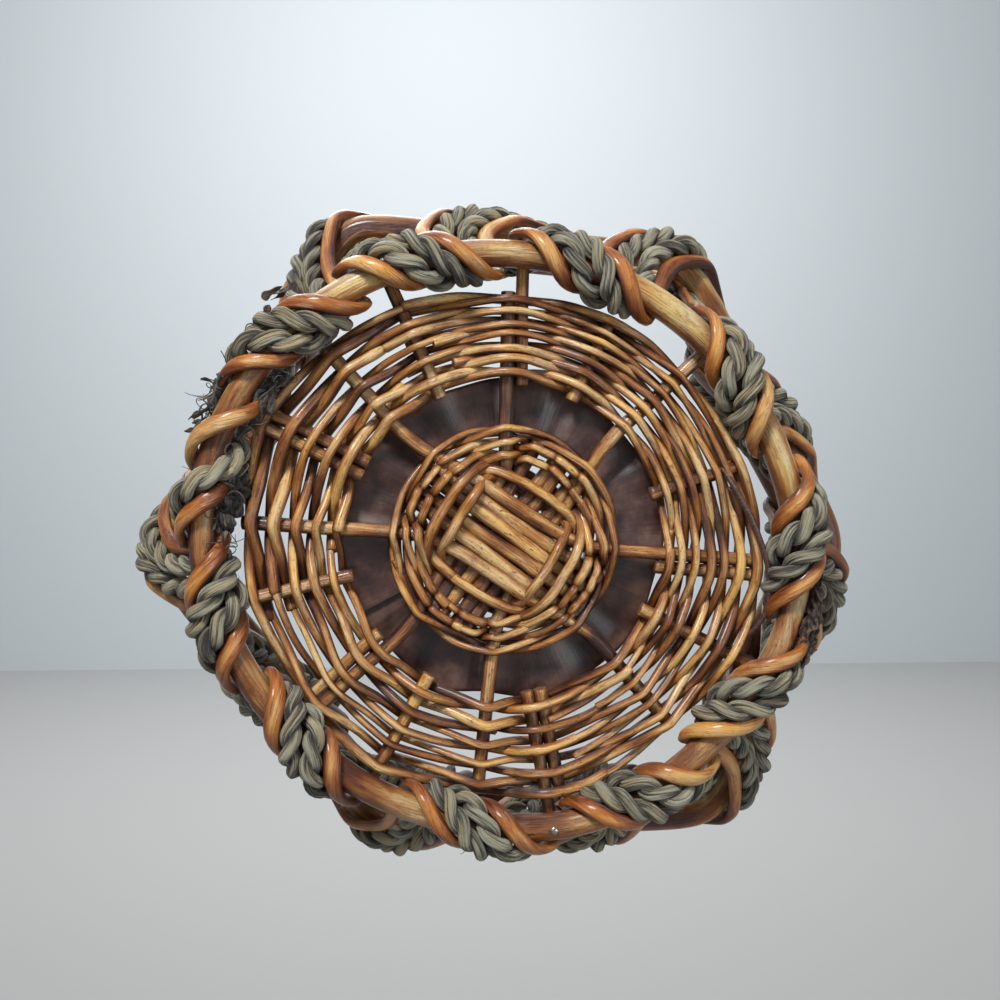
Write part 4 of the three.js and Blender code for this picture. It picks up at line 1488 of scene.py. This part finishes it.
class BASKET_OT_rosette(bpy.types.Operator):
    """Bind the crossed sticks in the middle and weave the rosette round them"""

    bl_idname = "basket.rosette"
    bl_label = "Rosette"

    def execute(self, context):
        for row, (name, replaced) in enumerate(BINDINGS):
            rng = dice(TIE_DICE + row)
            piece = Piece()
            distance, corner = TIE_FIRST + TIE_STEP * row, TIE_CORNER + TIE_CORNER_STEP * row
            line = binding_line(distance, corner, row, TIE_THICKNESS)
            weaver(piece, line, TIE_BUTT, TIE_TIP, rng.uniform(0.4, 0.6), rng, TIE_DICE + row, sides=12)
            piece.make(name, finish_for("weaver"), "fine_weaver", replaced)
        pairs = sizes().rosette_pairs
        rows = 2 * pairs
        solid_rows = {round(i * (rows - 1) / (ROSETTE_ROWS - 1)): i + 1 for i in range(ROSETTE_ROWS)}
        for row in range(rows):
            rng = dice(ROSETTE_DICE + row)
            radius = ROSETTE_FIRST + (ROSETTE_LAST - ROSETTE_FIRST) * (row // 2) / (pairs - 1)
            meetings = rosette_meetings(row, FINE_THICKNESS)
            start = rng.uniform(0, 360)
            begin, end = start - FINE_BEFORE, start + 360 + FINE_PAST
            turned = {"bend_at": always(0.6), "twist": 1.5, "wave": 12.0}
            line = woven_line(always(radius), meetings, begin, end, rng, stray=0.7, step=FINE_STEP, **turned)
            butt = (FINE_BUTT - FINE_LESS * (row // 2)) * rng.uniform(0.92, 1.08)
            piece = Piece()
            weaver(piece, line, butt, FINE_TIP, rng.uniform(0.35, 0.65), rng, ROSETTE_DICE + row)
            replaced = (f"rosette_row_{solid_rows[row]}",) if row in solid_rows else ()
            piece.make(f"rosette_weaver_{row + 1}", finish_for("weaver"), "fine_weaver", replaced)
        return {"FINISHED"}


# Bark band.
# The points round and across it, where its seam is, and how far round it goes with its lap.
BARK_AROUND, BARK_ACROSS = 540, 18
BARK_SEAM = 332.0
BARK_DEGREES = 366.0
# How far its outer edge lies inside the solid's and how ragged it is, how far it is raised above the solid's
# level, and how much higher its end is than its start, which it laps over.
BARK_TRIM, BARK_RAGGED = 3.6, 2.2
BARK_RAISED = 2.2
BARK_LAP_RISE = 2.0


class BASKET_OT_bark_band(bpy.types.Operator):
    """Lay the ruffled band of dark bark behind the spokes"""

    bl_idname = "basket.bark_band"
    bl_label = "Bark band"

    def execute(self, context):
        rng = dice(BARK_DICE)
        piece = Piece()
        ruffle = millimetres(sizes().bark_ruffle)
        turn = np.linspace(0, 360, BARK_AROUND)
        angle = BARK_SEAM + np.linspace(0, BARK_DEGREES, BARK_AROUND)
        share = np.linspace(0, 1, BARK_ACROSS)
        ripple = wander(rng, ROUND, 10, 1.0)(turn)
        slow = wander(rng, ROUND, 28, 1.0)(turn)
        outer = SPLINT_OUTER - BARK_TRIM + BARK_RAGGED * wander(rng, ROUND, 20, 1.0)(turn)
        inner = SPLINT_INNER + 0.5 * wander(rng, ROUND, 16, 1.0)(turn)
        radius = inner[:, None] + (outer - inner)[:, None] * share[None, :]
        done = np.linspace(0, 1, BARK_AROUND)
        lap = BARK_LAP_RISE * done
        seam = smoothstep(np.minimum(done, np.linspace(1, 0, BARK_AROUND)) / 0.05)
        folds = ripple[:, None] * (0.35 + 0.65 * share[None, :]) + 0.5 * slow[:, None]
        level = SPLINT_LEVEL + BARK_RAISED + ruffle * seam[:, None] * folds + lap[:, None]
        a = np.radians(angle)[:, None]
        firsts = []
        for side, z in ((0, level), (1, level + SPLINT_THICKNESS * 0.75)):
            points = np.stack([radius * np.cos(a), radius * np.sin(a), z], -1)
            grain = np.stack([radius, a * 58 * np.ones_like(radius), z * 0 + side], -1)
            first = piece.add(points.reshape(-1, 3), grain.reshape(-1, 3), 0.5, 0.0, 0.5)
            corners = grid_corners(BARK_AROUND, BARK_ACROSS, first)
            piece.quads.append(np.stack(corners if side else corners[::-1], -1).reshape(-1, 4))
            firsts.append(first)
        low, high = firsts
        # Its inner and outer edges, and then its two ends.
        i = np.arange(BARK_AROUND - 1) * BARK_ACROSS
        j = np.arange(BARK_ACROSS - 1)
        for edge, step, flip in (
            (i, BARK_ACROSS, False),
            (i + BARK_ACROSS - 1, BARK_ACROSS, True),
            (j, 1, True),
            ((BARK_AROUND - 1) * BARK_ACROSS + j, 1, False),
        ):
            lo, hi = low + edge, high + edge
            rim = [lo, lo + step, hi + step, hi] if flip else [lo, hi, hi + step, lo + step]
            piece.quads.append(np.stack(rim, -1))
        piece.make("bark_band", finish_for("bark"), "bark_splint", ("splint_band",))
        return {"FINISHED"}


# Nail and loose ends.
# The nail's rounded head as radii and heights, its shank's radius and how long its point is.
NAIL_HEAD = ((0.25, -0.35), (1.0, -0.3), (1.5, 0.02), (1.65, 0.35), (1.6, 0.7), (1.2, 0.85), (0.8, 1.0))
NAIL_SHANK = 0.8
NAIL_POINT = 1.6


class BASKET_OT_nail(bpy.types.Operator):
    """Drive the nail that holds a stake to the foot pole"""

    bl_idname = "basket.nail"
    bl_label = "Nail"

    def execute(self, context):
        low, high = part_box("nail_1")
        x, y = (low[0] + high[0]) / 2 / METRES, (low[1] + high[1]) / 2 / METRES
        foot, top = low[2] / METRES, high[2] / METRES
        profile = [*((r, foot + z) for r, z in NAIL_HEAD), (NAIL_SHANK, top - NAIL_POINT), (0.15, top)]
        path = np.array([(x, y, z) for _, z in profile])
        piece = Piece()
        n = np.tile([1.0, 0, 0], (len(path), 1))
        b = np.tile([0, 1.0, 0], (len(path), 1))
        piece.tube(path, [r for r, _ in profile], 20, frames=(n, b))
        piece.make("steel_nail", finish_for("nail"), "nail", ("nail_1",))
        return {"FINISHED"}


def stray_fibre(piece, root, direction, length, radius, rng, tone, offset, curling=0.35, steps=7):
    """One thin fibre that leaves a rope and curls."""
    points = [root]
    heading = unit(direction)
    curl = unit(rng.normal(size=3))
    for _ in range(steps):
        heading = unit(heading + curling * np.cross(curl, heading) + 0.15 * rng.normal(size=3))
        points.append(points[-1] + heading * length / steps)
    path = smooth_path(points, max(0.8, length / 14))
    piece.tube(path, np.linspace(radius, radius * 0.3, len(path)), 5, tone=tone, offset=offset)


def shred(piece, root, direction, length, half_width, rng, tone, offset, crumple=0.28):
    """A crumpled, flat scrap of broken rope."""
    points = [root]
    heading = unit(direction)
    for _ in range(5):
        heading = unit(heading + crumple * rng.normal(size=3))
        points.append(points[-1] + heading * length / 5)
    path = smooth_path(points, max(1.0, length / 12))
    share = np.linspace(0, 1, len(path))
    size = half_width * (0.35 + 0.65 * np.sin(np.pi * share) ** 0.5) * (1 + 0.3 * np.sin(share * 9 + offset))
    n, b = carried_frames(path, rng.normal(size=3))
    twist = rng.uniform(-2.5, 2.5) * share
    c, d = np.cos(twist)[:, None], np.sin(twist)[:, None]
    piece.tube(path, size, 8, frames=(c * n + d * b, c * b - d * n), flat=0.16, tone=tone, offset=offset)


def wad(piece, points, radius, rng, offset):
    """A matted, crumpled lump of broken rope through the points."""
    path = smooth_path(points, WAD_STEP)
    s = along(path)
    waves = [(rng.integers(1, 9), rng.uniform(0.15, 1.6), rng.uniform(0, 6.28)) for _ in range(14)]

    def lumps(at, turn):
        height = sum(np.abs(np.sin(0.5 * (k * turn + f * at) + phase)) - 0.64 for k, f, phase in waves)
        return 1 + 0.22 * height

    ends = np.clip(np.sin(np.pi * s / s[-1]), 0.05, 1) ** 0.5
    piece.tube(path, radius * ends, 44, tone=0.45 + wavering(rng, s, 6, 0.3), lumps=lumps, offset=offset)


def hanging(rng, angle, across, up):
    """A direction along the foot pole, one way or the other, that strays a little across it and up."""
    stray = polar(across * rng.normal(), angle, up * rng.normal())
    return stray + polar(rng.choice([-1, 1]), angle + 90, 0)


# Where the broken rope lies in shreds beside the foot pole: the angle, its spread, in or out, and how many.
FRAYED_PLACES = ((10, 4.5, -1, 150), (30, 4, -1, 60), (29, 4, 1, 56))
# Its matted lumps: from and to what angle, how far out, how high and how thick.
WADS = (
    (2, 11, 116.2, 14, 4.8),
    (6, 17, 114.4, 16, 5.2),
    (5, 13, 112.8, 18, 4.6),
    (11, 19, 115.6, 12, 4.2),
    (25, 34, 115.2, 16, 4.4),
    (23, 35, 133.0, 27, 4.2),
)
# Where torn bast hangs outside the foot pole: the angle, its spread, how far out and how many scraps.
BAST_PLACES = ((196, 3.4, 9.6, 70), (47, 1.4, 15.0, 7))
# The matted lump among it: from and to what angle, how far out from the pole's middle and how thick.
BAST_WAD = (188, 203, 9.2, 3.6)
# How many fibres stand out of each broken end.
END_FIBRES = 46
# How thick the hairs on the ropes are, and how far from the rope's middle they begin.
HAIR_RADIUS = 0.22
HAIR_ROOT = 4.3


def rope_hairs(piece, rng):
    """Short fibres that stand off the ropes all along."""
    for side in (1, -1):
        middle = rope_middle(side)
        t = tangents_of(middle)
        for i in rng.integers(10, len(middle) - 10, sizes().stray_fibres // 2):
            out = unit(rng.normal(size=3))
            out = unit(out - t[i] * (out @ t[i]))
            heading = t[i] * rng.choice([-1, 1]) + 0.4 * out
            length, tone = rng.uniform(2, 5), rng.uniform(0.3, 0.9)
            root = middle[i] + out * HAIR_ROOT
            stray_fibre(piece, root, heading, length, HAIR_RADIUS, rng, tone, i * HAIR_GRAIN)


def fray_ends(piece, rng):
    """Fibres that stand out of the broken rope's two ends."""
    middle = rope_middle(1)
    for end, way in ((0, -1), (len(middle) - 1, 1)):
        t = tangents_of(middle)[end] * way
        for i in range(END_FIBRES):
            out = rng.normal(size=3)
            root = middle[end] - t * rng.uniform(0, 9) + 2.6 * unit(out)
            length, radius, tone = rng.uniform(4, 11), rng.uniform(0.25, 0.5), rng.uniform(0.2, 0.9)
            stray_fibre(piece, root, t + 0.7 * unit(out), length, radius, rng, tone, i * END_GRAIN)


def fray_sides(piece, rng):
    """Shreds and fibres of the broken rope that lie beside the foot pole, and its matted lumps."""
    for centre, spread, inward, count in FRAYED_PLACES:
        for i in range(count):
            angle = rng.normal(centre, spread)
            radius = FOOT_RADIUS + inward * rng.uniform(6.5, 11)
            root = polar(radius, angle, FOOT_HEIGHT + rng.uniform(-5, 12))
            heading = hanging(rng, angle, 0.3, 0.4)
            length = rng.uniform(4, 12)
            if i % 2:
                half_width, tone = rng.uniform(0.5, 1.4), rng.uniform(0.1, 0.9)
                shred(piece, root, heading, length, half_width, rng, tone, i * SHRED_GRAIN)
            else:
                tone, thick = rng.uniform(0.3, 1.1), rng.uniform(0.25, 0.45)
                length = 1.8 * length
                curls = {"curling": 0.55, "steps": 12}
                stray_fibre(piece, root, heading, length, thick, rng, tone, i * SHRED_GRAIN, **curls)
    for i, (first, last, radius, height, thick) in enumerate(WADS):
        angles = np.linspace(first, last, 6)
        points = [polar(radius + rng.uniform(-1, 1), a, height + rng.uniform(-1.6, 1.6)) for a in angles]
        wad(piece, points, thick, rng, WAD_GRAIN * i)


def torn_bast(piece, rng):
    """Scraps of torn bast that hang outside the foot pole, and the matted lump among them."""
    for centre, spread, out, count in BAST_PLACES:
        for i in range(count):
            angle = rng.normal(centre, spread)
            radius = FOOT_RADIUS + out + rng.uniform(-1.5, 1.5)
            root = polar(radius, angle, FOOT_HEIGHT + rng.uniform(-6, 6))
            heading = hanging(rng, angle, 0.25, 0.4)
            length, half_width, tone = rng.uniform(4, 11), rng.uniform(0.8, 2.2), rng.uniform(0.1, 0.9)
            shred(piece, root, heading, length, half_width, rng, tone, i * BAST_GRAIN, crumple=0.12)
    first, last, out, thick = BAST_WAD
    points = [polar(FOOT_RADIUS + out, a, FOOT_HEIGHT) for a in np.linspace(first, last, 6)]
    wad(piece, points, thick, rng, BAST_WAD_GRAIN)


class BASKET_OT_loose_fibres(bpy.types.Operator):
    """Fray the broken rope and add the loose fibres that stand off the ropes"""

    bl_idname = "basket.loose_fibres"
    bl_label = "Loose fibres"

    def execute(self, context):
        rng = dice(FIBRE_DICE)
        hairs, frays, bast = Piece(), Piece(), Piece()
        rope_hairs(hairs, rng)
        hairs.make("loose_rope_hairs", finish_for("rope"), "seagrass_rope")
        fray_ends(frays, rng)
        fray_sides(frays, rng)
        frays.make("frayed_fibres", finish_for("fibre"), "seagrass_rope")
        torn_bast(bast, dice(BAST_DICE))
        bast.make("torn_bast", finish_for("bast"), "seagrass_rope")
        return {"FINISHED"}


# Stage, lights and camera, in metres.
CAMERA_PLACE = (0.02511792, 0.03190385, -0.447599)
CAMERA_LOOK = (-0.04988717, -0.03180209, 0.99824841)
CAMERA_FOCAL = 39.6
# The floor's height in the picture, how near and far it goes, how wide it is and how high the wall is.
FLOOR_Y, FLOOR_NEAR, FLOOR_FAR, STAGE_WIDE, WALL_TOP = -1.45, -4.0, 7.6, 9.0, 8.0
BASKET_MIDDLE = (0, 0, 0.05)
# Each light: its name, place, aim, size, power and tint.
LIGHTS = (
    ("key", (0.35, 1.0, -0.75), BASKET_MIDDLE, 0.35, 21, (1.0, 0.98, 0.95)),
    ("fill", (-0.9, 0.0, -0.8), BASKET_MIDDLE, 0.9, 5.5, (0.93, 0.97, 1.0)),
    ("back", (0.2, 0.9, 0.9), BASKET_MIDDLE, 0.8, 9, (0.95, 0.98, 1.0)),
    ("backdrop_light", (0, 3.5, 3.0), (0, 1.0, 7.6), 3.0, 230, (1.0, 1.0, 1.0)),
)


def area_light(name, place, aim, size, power, tint):
    light = bpy.data.lights.new(name, "AREA")
    light.shape = "DISK"
    light.size = size
    light.energy = power
    light.color = tint
    obj = bpy.data.objects.new(name, light)
    bpy.context.scene.collection.objects.link(obj)
    obj.location = place
    obj.rotation_euler = (Vector(aim) - Vector(place)).to_track_quat("-Z", "Y").to_euler()


def stage_sheet(name, corners, material):
    """A plain sheet of the stage, divided into cells."""
    a, b, c, d = (np.array(p, float) for p in corners)
    count = 12
    u = np.linspace(0, 1, count)
    grid = [[(a * (1 - x) + b * x) * (1 - y) + (d * (1 - x) + c * x) * y for x in u] for y in u]
    mesh = bpy.data.meshes.new(name)
    quads = np.stack(grid_corners(count, count), -1).reshape(-1, 4)
    mesh.from_pydata(np.array(grid).reshape(-1, 3).tolist(), [], quads.tolist())
    mesh.materials.append(material)
    obj = bpy.data.objects.new(name, mesh)
    bpy.context.scene.collection.objects.link(obj)


def across_stage(y, z):
    """The left and the right end of a line across the stage."""
    return [(-STAGE_WIDE, y, z), (STAGE_WIDE, y, z)]


class BASKET_OT_stage(bpy.types.Operator):
    """Set up the pale floor and wall, the soft lights and the camera"""

    bl_idname = "basket.stage"
    bl_label = "Stage"

    def execute(self, context):
        scene = context.scene
        tints = scene.basket_tints
        near, far = across_stage(FLOOR_Y, FLOOR_NEAR), across_stage(FLOOR_Y, FLOOR_FAR)
        top = across_stage(WALL_TOP, FLOOR_FAR)
        stage_sheet("floor", [*near, *far[::-1]], plain_stage("floor_paint", tints.floor))
        stage_sheet("backdrop", [*far, *top[::-1]], plain_stage("wall_paint", tints.wall))
        world = bpy.data.worlds.new("studio")
        scene.world = world
        world.use_nodes = True
        background = world.node_tree.nodes["Background"]
        background.inputs["Color"].default_value = (0.93, 0.96, 1.0, 1)
        background.inputs["Strength"].default_value = 0.3
        for light in LIGHTS:
            area_light(*light)
        camera = bpy.data.cameras.new("camera")
        camera.sensor_width = 36
        camera.lens = CAMERA_FOCAL
        camera.clip_start, camera.clip_end = 0.01, 100
        obj = bpy.data.objects.new("camera", camera)
        scene.collection.objects.link(obj)
        back = -Vector(CAMERA_LOOK).normalized()
        right = Vector((0, 1, 0)).cross(back).normalized()
        upward = back.cross(right)
        turned = Matrix((right, upward, back)).transposed().to_4x4()
        obj.matrix_world = Matrix.Translation(CAMERA_PLACE) @ turned
        scene.camera = obj
        scene.view_settings.view_transform = "Standard"
        scene.view_settings.exposure = 0.0
        return {"FINISHED"}


PIECE_OPERATORS = (
    BASKET_OT_stage,
    BASKET_OT_poles,
    BASKET_OT_lacing_rods,
    BASKET_OT_ropes,
    BASKET_OT_base_sticks,
    BASKET_OT_band,
    BASKET_OT_rosette,
    BASKET_OT_bark_band,
    BASKET_OT_nail,
    BASKET_OT_loose_fibres,
)


class BASKET_PT_pieces(bpy.types.Panel):
    """Lists the basket's pieces"""

    bl_idname = "BASKET_PT_pieces"
    bl_label = "Basket"
    bl_space_type = "VIEW_3D"
    bl_region_type = "UI"
    bl_category = "Basket"

    def draw(self, context):
        for operator in PIECE_OPERATORS:
            self.layout.operator(operator.bl_idname)
        for group in (context.scene.basket_sizes, context.scene.basket_tints):
            box = self.layout.box()
            for name in group.__annotations__:
                box.prop(group, name)


CLASSES = (BasketSizes, BasketTints, *PIECE_OPERATORS, BASKET_PT_pieces)


def register():
    for cls in CLASSES:
        bpy.utils.register_class(cls)
    bpy.types.Scene.basket_sizes = PointerProperty(type=BasketSizes)
    bpy.types.Scene.basket_tints = PointerProperty(type=BasketTints)


def unregister():
    del bpy.types.Scene.basket_tints
    del bpy.types.Scene.basket_sizes
    for cls in reversed(CLASSES):
        bpy.utils.unregister_class(cls)


def main():
    register()
    bpy.ops.basket.stage()
    bpy.ops.basket.poles()
    bpy.ops.basket.lacing_rods()
    bpy.ops.basket.ropes()
    bpy.ops.basket.base_sticks()
    bpy.ops.basket.band()
    bpy.ops.basket.rosette()
    bpy.ops.basket.bark_band()
    bpy.ops.basket.nail()
    bpy.ops.basket.loose_fibres()


if __name__ == "__main__":
    main()
